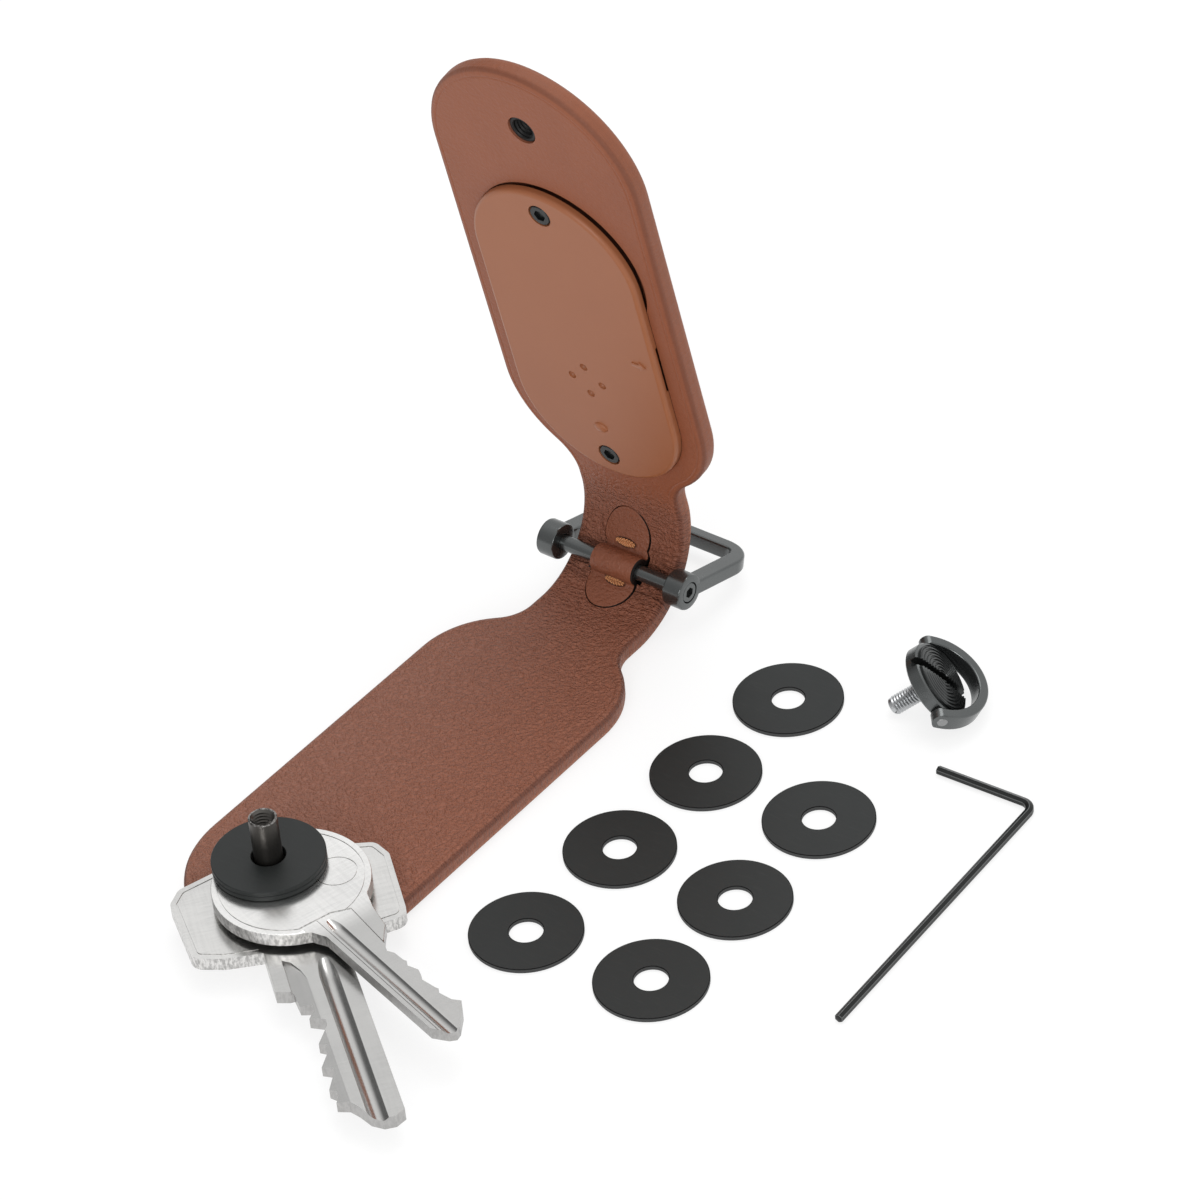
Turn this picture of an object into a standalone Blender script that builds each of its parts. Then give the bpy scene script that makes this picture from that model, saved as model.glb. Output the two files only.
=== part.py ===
"""Folding leather key organizer with a tracker, a shackle, two keys and its loose screw, washers and hex key.

Metres, +Z up. The origin is the foot of the key post, on the underside of the lower leaf.
+Y runs along the strap to its neck, +X along the shackle's pin. The upper leaf stands open.
"""
import math

import bmesh
import bpy
from mathutils import Matrix, Vector

# Clearances and rounding shared by all pieces
seam = 0.00005
ease = 0.0001
overrun = 0.002
round_steps = 36
corner_steps = 5

# Leather strap: two leaves joined by a narrow neck
lower_half_width = 0.0157
neck_half_width = 0.0085
outer_leather = 0.0016
lining_leather = 0.00135
strap_thickness = outer_leather + seam + lining_leather
edge_softness = 0.0008
post_to_bend = 0.0670
eyelet_to_bend = 0.0688
lower_tip_past_hole = 0.0098
upper_tip_past_hole = 0.0094
lower_shoulder_start = 0.0022
upper_shoulder_start = 0.0008
shoulder_in_share = 0.78
shoulder_out_share = 1.80
shoulder_slope = math.radians(50)
pocket_floor = 0.0008
board_margin = 0.0026
board_corner = 0.0100
board_start = 0.0061

# Bend of the neck at rest, and the pin's place along it
bend_radius = 0.0140
bend_angle = math.radians(101.5)
pin_angle = math.radians(45.8)
bend_steps_low = 7
bend_steps_high = 8

# Key post, riveted through the lower leaf
post_radius = 0.0019
post_top = 0.0155
post_bore = 0.00138
post_bore_depth = 0.0085
post_chamfer = 0.0003
flange_radius = 0.0045

# Eyelet of the upper leaf
eyelet_radius = 0.0025
eyelet_bore = 0.0018
eyelet_flange = 0.0042

# Washers: on the post and loose beside the strap
washer_radius = 0.0075
washer_hole = 0.00225
washer_thickness = 0.0007
washer_edge = 0.0001
loose_column_x = (0.0305, 0.0499)
loose_column_lean_shares = (0.023, 0.0)
loose_column_y = ((0.0133, 0.0326, 0.0509, 0.0690), (0.0146, 0.0326, 0.0511))

# Keys
key_thickness = 0.0019
key_hole = 0.0023
groove_depth = 0.0005
lower_key_turn = math.radians(-37.4)
lower_key_bow_length = 0.0130
lower_key_bow_half = 0.0143
lower_key_bow_top = 0.0065
lower_key_bow_corner = 0.0022
lower_key_bow_shift = 0.0010
lower_key_blade_low = -0.0019
lower_key_blade_high = 0.00635
lower_key_tip = 0.0495
lower_key_tab_reach = 0.0222
lower_key_tab_width = 0.0020
lower_key_tab_slit = 0.0005
lower_key_tooth_from = 0.0255
lower_key_tooth_to = 0.0470
lower_key_tooth_depth = 0.0026
lower_key_tooth_shares = ((0.06, 0.42), (0.205, 0.96), (0.42, 0.85), (0.62, 0.52), (0.82, 0.25))
lower_key_ridge_shares = ((0.0, 0.0), (0.15, 0.21), (0.37, 0.23), (0.56, 0.03), (0.79, -0.06), (0.88, 0.12), (1.0, 1.02))
lower_key_groove = 0.0020
lower_key_groove_from = 0.0157
lower_key_groove_y = 0.0030
upper_key_turn = math.radians(-16.4)
upper_key_bow_radius = 0.0104
upper_key_bow_centre = 0.0047
upper_key_shoulder_x = 0.0205
upper_key_shoulder_y = 0.0042
upper_key_blade_low = -0.0031
upper_key_blade_high = 0.0028
upper_key_tip = 0.0430
upper_key_tooth_from = 0.0232
upper_key_tooth_to = 0.0379
upper_key_tooth_depth = 0.0012
upper_key_tooth_shares = ((0.04, 0.8), (0.22, 0.55), (0.42, 0.85), (0.60, 0.6), (0.84, 0.9))
upper_key_ridge_shares = ((0.0, 0.3), (0.14, 0.1), (0.32, 0.2), (0.51, 0.12), (0.72, 0.25), (1.0, -0.8))
upper_key_groove = 0.0013
upper_key_groove_from = 0.0140
upper_key_groove_y = -0.0004

# Tracker in the upper leaf; lengths along the leaf count from the neck's bend
tracker_half_straight = 0.0129
lid_rise = 0.00120
lid_wall = 0.0008
lid_skirt_gap = 0.00005
lid_softness = 0.0004
tray_radius = 0.0122
tray_wall = 0.0007
tray_floor = 0.0005
tray_flange = 0.0007
tray_end_gap = 0.0002
board_rim = 0.0012
lid_skirt = 0.0010
gasket_width = 0.0004
tracker_screw_inset = 0.00255
tracker_screw_head = 0.0018
tracker_screw_head_depth = 0.0004
tracker_screw_shank = 0.0010
tracker_screw_socket = 0.00075
insert_radius = 0.0016
insert_height = 0.0013
boss_radius = 0.0023
boss_below_rim = 0.0003
battery_side_gap = 0.0015
battery_end_gap = 0.0005
battery_thickness = 0.0016
circuit_thickness = 0.0006
buzzer_radius = 0.0045
buzzer_thickness = 0.0009
buzzer_end_gap = 0.0015
sound_hole = 0.00035
sound_hole_spread = 0.0022
chip_side = 0.0050
chip_thickness = 0.0008
chip_end_gap = 0.00125
contact_width = 0.0030
contact_thickness = 0.0002
contact_reach = 0.0060
contact_side = 0.0065
contact_foot_share = 0.90
thumb_notch_length = 0.0080
thumb_notch_depth = 0.0008
thumb_notch_height = 0.0004
thumb_notch_offset = -0.0013

# Sizes that follow the tracker's tray: the leaf round it, the lid over it and what it holds
upper_half_width = tray_radius + tray_flange + board_rim + board_margin
tracker_centre = board_start + tray_end_gap + tray_flange + tray_radius + tracker_half_straight
lid_radius = tray_radius + ease + lid_skirt
tracker_screw_offset = tracker_half_straight + tray_radius - tracker_screw_inset
chip_offset = -(tracker_screw_offset - boss_radius - chip_end_gap - chip_side / 2)
buzzer_offset = chip_offset + chip_side / 2 + buzzer_end_gap + buzzer_radius
battery_radius = tray_radius - tray_wall - battery_side_gap
battery_offset = buzzer_offset + buzzer_radius + battery_end_gap + battery_radius

# Shackle
pin_radius = 0.0011
pin_ease = 0.00015
shackle_half_width = 0.0123
shackle_shift = 0.0002
shackle_droop = math.radians(-15.6)
eye_radius = 0.0026
eye_length = 0.0029
bow_arm = 0.0027
bow_bar = 0.0021
bow_height = 0.0021
bow_reach = 0.0160
bow_corner = 0.0050
bow_inner_corner = 0.0016
bow_softness = 0.0003
pin_head_radius = 0.0018
pin_head_depth = 0.0008
pin_socket = 0.0006
pin_socket_depth = 0.0006

# Keeper that holds the pin on the neck
keeper_thickness = 0.0009
keeper_half_width = 0.0038
keeper_half_length = 0.0075
keeper_shift = 0.0007
keeper_arch_half = 0.0032
keeper_arch_fullness_share = 0.7
tack_length = 0.0036
tack_width = 0.0012
tack_height = 0.0005
tack_clearance = 0.00015
tack_above_pin = 0.0036
tack_below_pin = 0.0036

# Closing screw, lying on its bail
screw_place = Vector((0.0495, 0.0774, 0.00445))
screw_rise = math.radians(35.0)
screw_heading = math.radians(33.1)
screw_roll = math.radians(194.2)
head_radius = 0.00545
head_height = 0.0022
dome_radius = 0.0049
dome_height = 0.0011
dome_gap = 0.0003
slot_width = 0.0013
slot_depth = 0.0010
stud_radius = 0.00122
stud_length = 0.00625
stud_chamfer = 0.0003
bail_pivot_height = 0.0010
bail_half_width = 0.0070
bail_reach = 0.0072
bail_bar = 0.0014
bail_height = 0.0024
bail_angle = math.radians(27.9)
bail_softness = 0.0003
bail_pin_radius = 0.0008
bail_pin_seat = 0.0009

# Hex key lying beside the washers
hex_key_corner = Vector((0.0722, 0.0677, 0.0))
hex_key_long = 0.0468
hex_key_short = 0.0143
hex_key_size = 0.0011
hex_key_bend = 0.0022
hex_key_heading = math.radians(-87.1)

# Folded, this much stays between the post and the upper leaf
closed_gap = 0.0003

# Shared heights over the outer face, and the turn that stands a side view up along a leaf
hole_low = pocket_floor + seam
board_top = outer_leather - seam
side_view_turn = Matrix(((0, 0, 1, 0), (1, 0, 0, 0), (0, 1, 0, 0), (0, 0, 0, 1)))

model = bpy.data.collections.new("key_organizer")
cutters = bpy.data.collections.new("cutters")
materials = {}


def clear_scene():
    for item in list(bpy.data.objects):
        bpy.data.objects.remove(item, do_unlink=True)
    for group in (model, cutters):
        bpy.context.scene.collection.children.link(group)


def material(name, colour, roughness, metallic=0.0):
    made = bpy.data.materials.new(name)
    made.use_nodes = True
    shader = made.node_tree.nodes["Principled BSDF"]
    shader.inputs["Base Color"].default_value = (*colour, 1.0)
    shader.inputs["Roughness"].default_value = roughness
    shader.inputs["Metallic"].default_value = metallic
    materials[name] = made


def make_materials():
    material("brown_leather", (0.27, 0.10, 0.065), 0.55)
    material("brown_lining", (0.25, 0.095, 0.062), 0.6)
    material("stiffener", (0.32, 0.27, 0.2), 0.8)
    material("brown_plastic", (0.33, 0.14, 0.09), 0.5)
    material("black_metal", (0.035, 0.037, 0.038), 0.45, 0.6)
    material("dark_post", (0.06, 0.058, 0.055), 0.35, 0.9)
    material("gunmetal", (0.12, 0.13, 0.13), 0.35, 0.9)
    material("nickel", (0.72, 0.71, 0.69), 0.25, 1.0)
    material("steel", (0.55, 0.55, 0.55), 0.3, 1.0)
    material("tan_thread", (0.60, 0.33, 0.15), 0.8)
    material("circuit_green", (0.05, 0.2, 0.1), 0.5)
    material("rubber_black", (0.02, 0.02, 0.02), 0.8)
    material("brass", (0.7, 0.5, 0.2), 0.35, 1.0)


def frame(name, place, turn, parent=None):
    """An empty that carries a group of pieces; turn is its rotation matrix in world space."""
    made = bpy.data.objects.new(name, None)
    model.objects.link(made)
    if parent is not None:
        made.parent = parent
        bpy.context.view_layer.update()
        made.matrix_parent_inverse = parent.matrix_world.inverted()
    made.matrix_world = Matrix.Translation(place) @ turn.to_4x4()
    bpy.context.view_layer.update()
    return made


def place_object(name, mesh, finish, parent, hidden=False):
    made = bpy.data.objects.new(name, mesh)
    (cutters if hidden else model).objects.link(made)
    made.parent = parent
    if hidden:
        made.hide_render = True
        made.display_type = "WIRE"
    else:
        mesh.materials.clear()
        mesh.materials.append(materials[finish])
        mesh.shade_smooth()
        mesh.set_sharp_from_angle(angle=math.radians(32))
    return made


def mesh_from(shape, name):
    bmesh.ops.recalc_face_normals(shape, faces=shape.faces)
    mesh = bpy.data.meshes.new(name)
    shape.to_mesh(mesh)
    shape.free()
    return mesh


def mesh_of_curve(curve, name):
    """Evaluate a curve, weld its caps and return it as a bmesh."""
    holder = bpy.data.objects.new(name, curve)
    cutters.objects.link(holder)
    bpy.context.view_layer.update()
    seen = holder.evaluated_get(bpy.context.evaluated_depsgraph_get())
    mesh = bpy.data.meshes.new_from_object(seen)
    shape = bmesh.new()
    shape.from_mesh(mesh)
    bmesh.ops.remove_doubles(shape, verts=shape.verts, dist=ease / 100)
    bpy.data.objects.remove(holder, do_unlink=True)
    bpy.data.curves.remove(curve)
    bpy.data.meshes.remove(mesh)
    return shape


def plate_shape(name, outlines, low, high, soften_low=0.0, soften_high=0.0, steps=2):
    """A flat plate from closed outlines, the first one outside, with softened rims."""
    curve = bpy.data.curves.new(name, "CURVE")
    curve.dimensions = "2D"
    curve.fill_mode = "BOTH"
    curve.extrude = (high - low) / 2
    for outline in outlines:
        spline = curve.splines.new("POLY")
        spline.points.add(len(outline) - 1)
        for point, (x, y) in zip(spline.points, outline):
            point.co = (x, y, 0, 1)
        spline.use_cyclic_u = True
    shape = mesh_of_curve(curve, name)
    bmesh.ops.translate(shape, verts=shape.verts, vec=(0, 0, (low + high) / 2))
    bmesh.ops.recalc_face_normals(shape, faces=shape.faces)
    for height, width in ((low, soften_low), (high, soften_high)):
        if width:
            rim = [edge for edge in shape.edges if is_rim(edge, height, (high - low) / 4)]
            bmesh.ops.bevel(shape, geom=rim, offset=width, offset_type="OFFSET", affect="EDGES",
                            segments=steps, profile=0.5, material=-1, clamp_overlap=True)
    return shape


def is_rim(edge, height, slack):
    if any(abs(vert.co.z - height) > slack for vert in edge.verts) or len(edge.link_faces) != 2:
        return False
    return edge.calc_face_angle(0) > math.radians(45)


def plate(name, finish, parent, outlines, low, high, hidden=False, **rims):
    return place_object(name, mesh_from(plate_shape(name, outlines, low, high, **rims), name),
                        finish, parent, hidden)


def turned(name, finish, parent, profile, hidden=False, steps=round_steps, move=None):
    """A turned piece: profile points (radius, height) run down the outside, top to bottom."""
    mesh = bpy.data.meshes.new(name)
    shape = bmesh.new()
    verts = [shape.verts.new((radius, 0, height)) for radius, height in profile]
    for first, second in zip(verts, verts[1:]):
        shape.edges.new((first, second))
    if profile[0][0] > 0:
        shape.edges.new((verts[-1], verts[0]))
    shape.to_mesh(mesh)
    shape.free()
    made = place_object(name, mesh, finish, parent, hidden)
    if move is not None:
        made.matrix_local = move
    turning = made.modifiers.new("turning", "SCREW")
    turning.axis = "Z"
    turning.angle = math.tau
    turning.steps = steps
    turning.render_steps = steps
    turning.use_merge_vertices = True
    turning.merge_threshold = ease / 100
    return made


def cut(target, tool, operation="DIFFERENCE"):
    step = target.modifiers.new(operation.lower(), "BOOLEAN")
    step.operation = operation
    step.solver = "EXACT"
    step.object = tool


def rod(name, parent, radius, low, high, move=None, steps=round_steps):
    """A hidden round cutter along its own Z."""
    return turned(name, None, parent, [(0, high), (radius, high), (radius, low), (0, low)],
                  hidden=True, steps=steps, move=move)


def arc(centre, radius, start, end, steps):
    return [(centre[0] + radius * math.cos(start + (end - start) * i / steps),
             centre[1] + radius * math.sin(start + (end - start) * i / steps)) for i in range(steps + 1)]


def circle(centre, radius, steps=round_steps):
    return arc(centre, radius, 0, math.tau * (steps - 1) / steps, steps - 1)


def mirrored(points):
    """Close an outline drawn on its +X side, bottom to top."""
    left = [(-x, y) for x, y in reversed(points)]
    if abs(points[-1][0]) < seam:
        left = left[1:]
    return points + left


def rounded(corners, radius, steps=corner_steps):
    """Round each corner of a polygon; radius is one value or one for each corner."""
    radii = radius if isinstance(radius, (list, tuple)) else [radius] * len(corners)
    points = []
    for i, corner in enumerate(corners):
        here = Vector(corner)
        back = (Vector(corners[i - 1]) - here).normalized()
        ahead = (Vector(corners[(i + 1) % len(corners)]) - here).normalized()
        half = back.angle(ahead) / 2
        if radii[i] == 0 or half > math.radians(89):
            points.append(tuple(here))
            continue
        reach = radii[i] / math.tan(half)
        centre = here + (back + ahead).normalized() * (radii[i] / math.sin(half))
        first = here + back * reach - centre
        sweep = first.angle_signed(here + ahead * reach - centre)
        for step in range(steps + 1):
            turn = -sweep * step / steps
            points.append((centre.x + first.x * math.cos(turn) - first.y * math.sin(turn),
                           centre.y + first.x * math.sin(turn) + first.y * math.cos(turn)))
    return points


def stadium(radius, centre=tracker_centre, half=tracker_half_straight, steps=14):
    upper = arc((0, centre + half), radius, 0, math.pi, steps)
    lower = arc((0, centre - half), radius, math.pi, math.tau, steps)
    return upper + lower


# Leaves, in a frame whose +Y runs from the bend to the tip and whose +Z is the inner face's side
def leaf_outline(length, half_width, shoulder_start):
    inner = (half_width - neck_half_width) * shoulder_in_share
    outer = (half_width - neck_half_width) * shoulder_out_share
    slope = shoulder_slope
    concave = arc((neck_half_width + inner, shoulder_start), inner, math.pi, math.pi - slope, corner_steps)
    leap = (half_width - neck_half_width - (inner + outer) * (1 - math.cos(slope))) / math.sin(slope)
    rise = shoulder_start + (inner + outer) * math.sin(slope) + leap * math.cos(slope)
    convex = arc((half_width - outer, rise), outer, -slope, 0, corner_steps)
    tip = arc((0, length - half_width), half_width, 0, math.pi / 2, round_steps // 3)
    return mirrored([(neck_half_width, seam)] + concave + convex + tip)


def board_outline(length, half_width, grow=0.0):
    half = half_width - board_margin + grow
    low = board_start - grow
    near = arc((half - board_corner, low + board_corner), board_corner, -math.pi / 2, 0, corner_steps)
    tip = arc((0, length - half_width), half, 0, math.pi / 2, round_steps // 3)
    return mirrored(near + tip)


def leaf(prefix, parent, length, hole_at, hole, flange, half_width, shoulder_start):
    """Outer leather with a pocket, the stiffening board in it, and the lining that closes it."""
    outline = leaf_outline(length, half_width, shoulder_start)
    outer = plate(prefix + "_outer_leather", "brown_leather", parent, [outline], 0, outer_leather,
                  soften_low=edge_softness)
    pocket = plate(prefix + "_pocket", None, parent, [board_outline(length, half_width, seam)],
                   pocket_floor, outer_leather + overrun, hidden=True)
    cut(outer, pocket)
    board = plate(prefix + "_board", "stiffener", parent,
                  [board_outline(length, half_width), circle((0, hole_at), flange + ease)],
                  hole_low, board_top)
    lining = plate(prefix + "_lining", "brown_lining", parent,
                   [outline, circle((0, hole_at), hole + ease)],
                   outer_leather + seam, strap_thickness)
    soften_outer_rim(lining, strap_thickness, Vector((0, hole_at)), hole + ease * 2)
    return outer, board, lining


def soften_outer_rim(target, height, hole_at, hole):
    """Soften only the outer rim of a plate, not the rim of its hole."""
    shape = bmesh.new()
    shape.from_mesh(target.data)
    rim = [edge for edge in shape.edges if is_rim(edge, height, seam)
           and (edge.verts[0].co.xy - hole_at).length > hole]
    bmesh.ops.bevel(shape, geom=rim, offset=edge_softness, offset_type="OFFSET", affect="EDGES",
                    segments=2, profile=0.5, material=-1, clamp_overlap=True)
    shape.to_mesh(target.data)
    shape.free()
    target.data.shade_smooth()
    target.data.set_sharp_from_angle(angle=math.radians(32))


def lower_leaf(parent):
    leaf("lower", parent, post_to_bend + lower_tip_past_hole, post_to_bend, post_radius, flange_radius,
         lower_half_width, lower_shoulder_start)
    top = board_top
    low = hole_low
    bore_end = post_top - post_bore_depth
    profile = [(post_bore + post_chamfer, post_top), (post_radius, post_top), (post_radius, top),
               (flange_radius, top), (flange_radius, low), (0, low)]
    post = turned("key_post", "dark_post", parent, [(0, post_top)] + profile[1:],
                  move=Matrix.Translation((0, post_to_bend, 0)), steps=32)
    bore = turned("post_bore", None, parent,
                  [(0, post_top + overrun), (post_bore + post_chamfer + overrun, post_top + overrun),
                   (post_bore, post_top - post_chamfer), (post_bore, bore_end), (0, bore_end)],
                  hidden=True, steps=24, move=Matrix.Translation((0, post_to_bend, 0)))
    cut(post, bore)


def upper_leaf(parent):
    outer, board, lining = leaf("upper", parent, eyelet_to_bend + upper_tip_past_hole, eyelet_to_bend,
                                eyelet_radius, eyelet_flange, upper_half_width, upper_shoulder_start)
    cut(outer, rod("eyelet_hole", parent, eyelet_radius + ease, -overrun, strap_thickness,
                   Matrix.Translation((0, eyelet_to_bend, 0)), steps=28))
    cut(board, plate("tray_space", None, parent, [stadium(tray_radius + tray_flange + ease)],
                     -overrun, strap_thickness + overrun, hidden=True))
    cut(lining, plate("lining_window", None, parent, [stadium(tray_radius + ease)],
                      outer_leather - overrun, strap_thickness + overrun, hidden=True))
    eyelet = [(eyelet_bore, strap_thickness), (eyelet_radius, strap_thickness), (eyelet_radius, board_top),
              (eyelet_flange, board_top), (eyelet_flange, hole_low), (eyelet_radius, hole_low),
              (eyelet_radius, seam), (eyelet_bore, seam)]
    turned("eyelet", "black_metal", parent, eyelet, steps=28,
           move=Matrix.Translation((0, eyelet_to_bend, 0)))


# Tracker, in the upper leaf's frame
def tracker(parent):
    rim = strap_thickness + seam
    floor = hole_low + tray_floor
    screws = (("upper", tracker_centre + tracker_screw_offset), ("lower", tracker_centre - tracker_screw_offset))
    inner = tray_radius - tray_wall

    tray = plate("tracker_tray", "brown_plastic", parent, [stadium(tray_radius + tray_flange)],
                 hole_low, board_top)
    cut(tray, plate("tray_wall_body", None, parent, [stadium(tray_radius)],
                    (hole_low + board_top) / 2, rim, hidden=True), "UNION")
    cut(tray, plate("tray_cavity", None, parent, [stadium(inner)], floor, rim + overrun, hidden=True))
    for side, at in screws:
        spot = Matrix.Translation((0, at, 0))
        boss = rod("tray_boss_" + side, parent, boss_radius, hole_low + tray_floor / 2,
                   rim - boss_below_rim, spot, 26)
        cut(tray, boss, "UNION")
        cut(tray, rod("boss_hole_" + side, parent, insert_radius + seam, floor + ease, rim + overrun, spot, 22))

    lid_low = rim + lid_skirt_gap
    lid_top = strap_thickness + lid_rise
    recess = lid_top - lid_wall
    lid = plate("tracker_lid", "brown_plastic", parent, [stadium(lid_radius, steps=18)], lid_low, lid_top,
                soften_high=lid_softness)
    cut(lid, plate("lid_recess", None, parent, [stadium(tray_radius + ease)],
                   lid_low - overrun, recess, hidden=True))
    for side, at in screws:
        spot = Matrix.Translation((0, at, 0))
        seat = lid_top - tracker_screw_head_depth - ease / 2
        head, shank = tracker_screw_head + ease, tracker_screw_shank + ease
        cut(lid, turned("lid_screw_hole_" + side, None, parent,
                        [(0, lid_top + overrun), (head, lid_top + overrun), (head, seat), (shank, seat),
                         (shank, lid_low), (0, lid_low)], hidden=True, steps=24, move=spot))
    for i in range(4):
        turn = math.pi / 4 + i * math.pi / 2
        spot = (sound_hole_spread * math.cos(turn), tracker_centre + buzzer_offset + sound_hole_spread
                * math.sin(turn), 0)
        cut(lid, rod("sound_hole_%d" % i, parent, sound_hole, recess - overrun, lid_top + overrun,
                     Matrix.Translation(spot), 8))
    notch_y = tracker_centre + thumb_notch_offset
    notch = [(lid_radius - thumb_notch_depth, notch_y - thumb_notch_length / 2),
             (lid_radius + overrun, notch_y - thumb_notch_length / 2),
             (lid_radius + overrun, notch_y + thumb_notch_length / 2),
             (lid_radius - thumb_notch_depth, notch_y + thumb_notch_length / 2)]
    cut(lid, plate("thumb_notch", None, parent, [notch], lid_low - overrun,
                   lid_low + thumb_notch_height, hidden=True))

    plate("tracker_gasket", "rubber_black", parent,
          [stadium(inner + tray_wall / 2 + gasket_width / 2), stadium(inner + tray_wall / 2 - gasket_width / 2)],
          rim + seam, recess - seam)
    tracker_inside(parent, floor, recess, screws, inner)
    for side, at in screws:
        tracker_screw(side, parent, Matrix.Translation((0, at, 0)), lid_top, floor)


def tracker_inside(parent, floor, recess, screws, inner):
    low = floor + seam
    high = low + circuit_thickness
    board = plate("tracker_circuit", "circuit_green", parent,
                  [stadium(inner - ease), circle((0, tracker_centre + battery_offset), battery_radius + ease * 2)],
                  low, high)
    for side, at in screws:
        cut(board, rod("circuit_notch_" + side, parent, boss_radius + ease, low - overrun, high + overrun,
                       Matrix.Translation((0, at, 0)), 20))
    battery_top = low + battery_thickness
    plate("coin_battery", "steel", parent, [circle((0, tracker_centre + battery_offset), battery_radius)],
          low, battery_top)
    plate("tracker_buzzer", "brass", parent, [circle((0, tracker_centre + buzzer_offset), buzzer_radius, 28)],
          high + seam, high + seam + buzzer_thickness)
    half = chip_side / 2
    chip_y = tracker_centre + chip_offset
    plate("tracker_chip", "rubber_black", parent,
          [[(-half, chip_y - half), (half, chip_y - half), (half, chip_y + half), (-half, chip_y + half)]],
          high + seam, high + seam + chip_thickness)
    foot = tracker_centre + battery_offset - battery_radius * contact_foot_share - ease
    top = min(battery_top + seam + contact_thickness, recess - seam)
    side_view = [(foot, high + seam), (foot + contact_thickness, high + seam),
                 (foot + contact_thickness, battery_top + seam), (foot + contact_reach, battery_top + seam),
                 (foot + contact_reach, top), (foot, top)]
    contact = plate("battery_contact", "steel", parent, [side_view], -contact_width / 2, contact_width / 2)
    contact.matrix_local = Matrix.Translation((contact_side, 0, 0)) @ side_view_turn


def tracker_screw(side, parent, spot, lid_top, floor):
    low = floor + ease + seam
    head_low = lid_top - tracker_screw_head_depth
    end = floor + insert_height / 3
    screw = turned("lid_screw_" + side, "black_metal", parent,
                   [(0, lid_top), (tracker_screw_head, lid_top), (tracker_screw_head, head_low),
                    (tracker_screw_shank, head_low), (tracker_screw_shank, end), (0, end)],
                   steps=24, move=spot)
    cut(screw, rod("lid_screw_socket_" + side, parent, tracker_screw_socket,
                   lid_top - tracker_screw_head_depth * 0.75, lid_top + overrun, spot, 6))
    turned("lid_insert_" + side, "brass", parent,
           [(tracker_screw_shank + seam, low + insert_height), (insert_radius, low + insert_height),
            (insert_radius, low), (tracker_screw_shank + seam, low)], steps=20, move=spot)


# Neck: strips of both leathers turned about the bend's axis
def neck_strip(name, finish, parent, near, far, start, end, steps, soft_near):
    """near and far are heights over the outer face; the strip follows the bend from start to end."""
    shape = bmesh.new()
    soft = edge_softness
    across = neck_half_width
    if soft_near:
        section = [(-across + soft, near), (across - soft, near), (across, near + soft), (across, far),
                   (-across, far), (-across, near + soft)]
    else:
        section = [(-across, near), (across, near), (across, far - soft), (across - soft, far),
                   (-across + soft, far), (-across, far - soft)]
    face = shape.faces.new([shape.verts.new((x, 0, z - bend_radius)) for x, z in section])
    bmesh.ops.rotate(shape, verts=shape.verts, cent=(0, 0, 0), matrix=Matrix.Rotation(start, 3, "X"))
    bmesh.ops.spin(shape, geom=[face] + list(face.edges) + list(face.verts), cent=(0, 0, 0),
                   axis=(1, 0, 0), angle=end - start, steps=steps, use_merge=False, use_duplicate=False)
    return place_object(name, mesh_from(shape, name), finish, parent)


def neck(parent):
    halves = (("lower", seam / bend_radius, pin_angle - seam / bend_radius, bend_steps_low),
              ("upper", pin_angle + seam / bend_radius, bend_angle - seam / bend_radius, bend_steps_high))
    for side, start, end, steps in halves:
        neck_strip("neck_%s_outer_leather" % side, "brown_leather", parent, 0, outer_leather,
                   start, end, steps, True)
        neck_strip("neck_%s_lining" % side, "brown_lining", parent, outer_leather + seam, strap_thickness,
                   start, end, steps, False)


# Keeper, in a frame at the pin whose +Z points to the bend's axis and +Y along the strap
def keeper_curve(along, extra):
    """Height of the keeper over the pin's axis, where extra is counted up from its underside."""
    pin_to_axis = bend_radius - strap_thickness - pin_radius - pin_ease
    face = pin_to_axis - math.sqrt((bend_radius - strap_thickness) ** 2 - along ** 2)
    lift = 2 * (pin_radius + pin_ease) + seam
    reach = min(abs(along) / keeper_arch_half, 1)
    bell = ((1 + math.cos(math.pi * reach)) / 2) ** keeper_arch_fullness_share
    return face + seam + lift * bell + extra


def keeper(parent):
    count = 36
    places = [keeper_shift + keeper_half_length * (2 * i / count - 1) for i in range(count + 1)]
    side_view = ([(y, keeper_curve(y, 0)) for y in places]
                 + [(y, keeper_curve(y, keeper_thickness)) for y in reversed(places)])
    patch = plate("keeper_patch", "brown_leather", parent, [side_view],
                  -keeper_half_width - overrun, keeper_half_width + overrun)
    patch.matrix_local = side_view_turn
    straight = keeper_half_length - keeper_half_width
    plan = stadium(keeper_half_width, keeper_shift, straight, 8)
    cut(patch, plate("keeper_plan", None, parent, [plan], -bend_radius / 2, bend_radius / 2, hidden=True),
        "INTERSECT")
    for side, along in (("upper", tack_above_pin), ("lower", -tack_below_pin)):
        slope = math.atan2(keeper_curve(along + ease, 0) - keeper_curve(along - ease, 0), ease * 2)
        seat = keeper_curve(along, keeper_thickness) + tack_clearance
        tack = plate("keeper_tack_" + side, "tan_thread", parent,
                     [rounded([(-tack_length / 2, -tack_width / 2), (tack_length / 2, -tack_width / 2),
                               (tack_length / 2, tack_width / 2), (-tack_length / 2, tack_width / 2)],
                              tack_width * 0.45, 3)],
                     0, tack_height, soften_high=tack_height / 3)
        tack.matrix_local = (Matrix.Translation((0, along, seat))
                             @ Matrix.Rotation(slope, 4, "X"))


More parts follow.
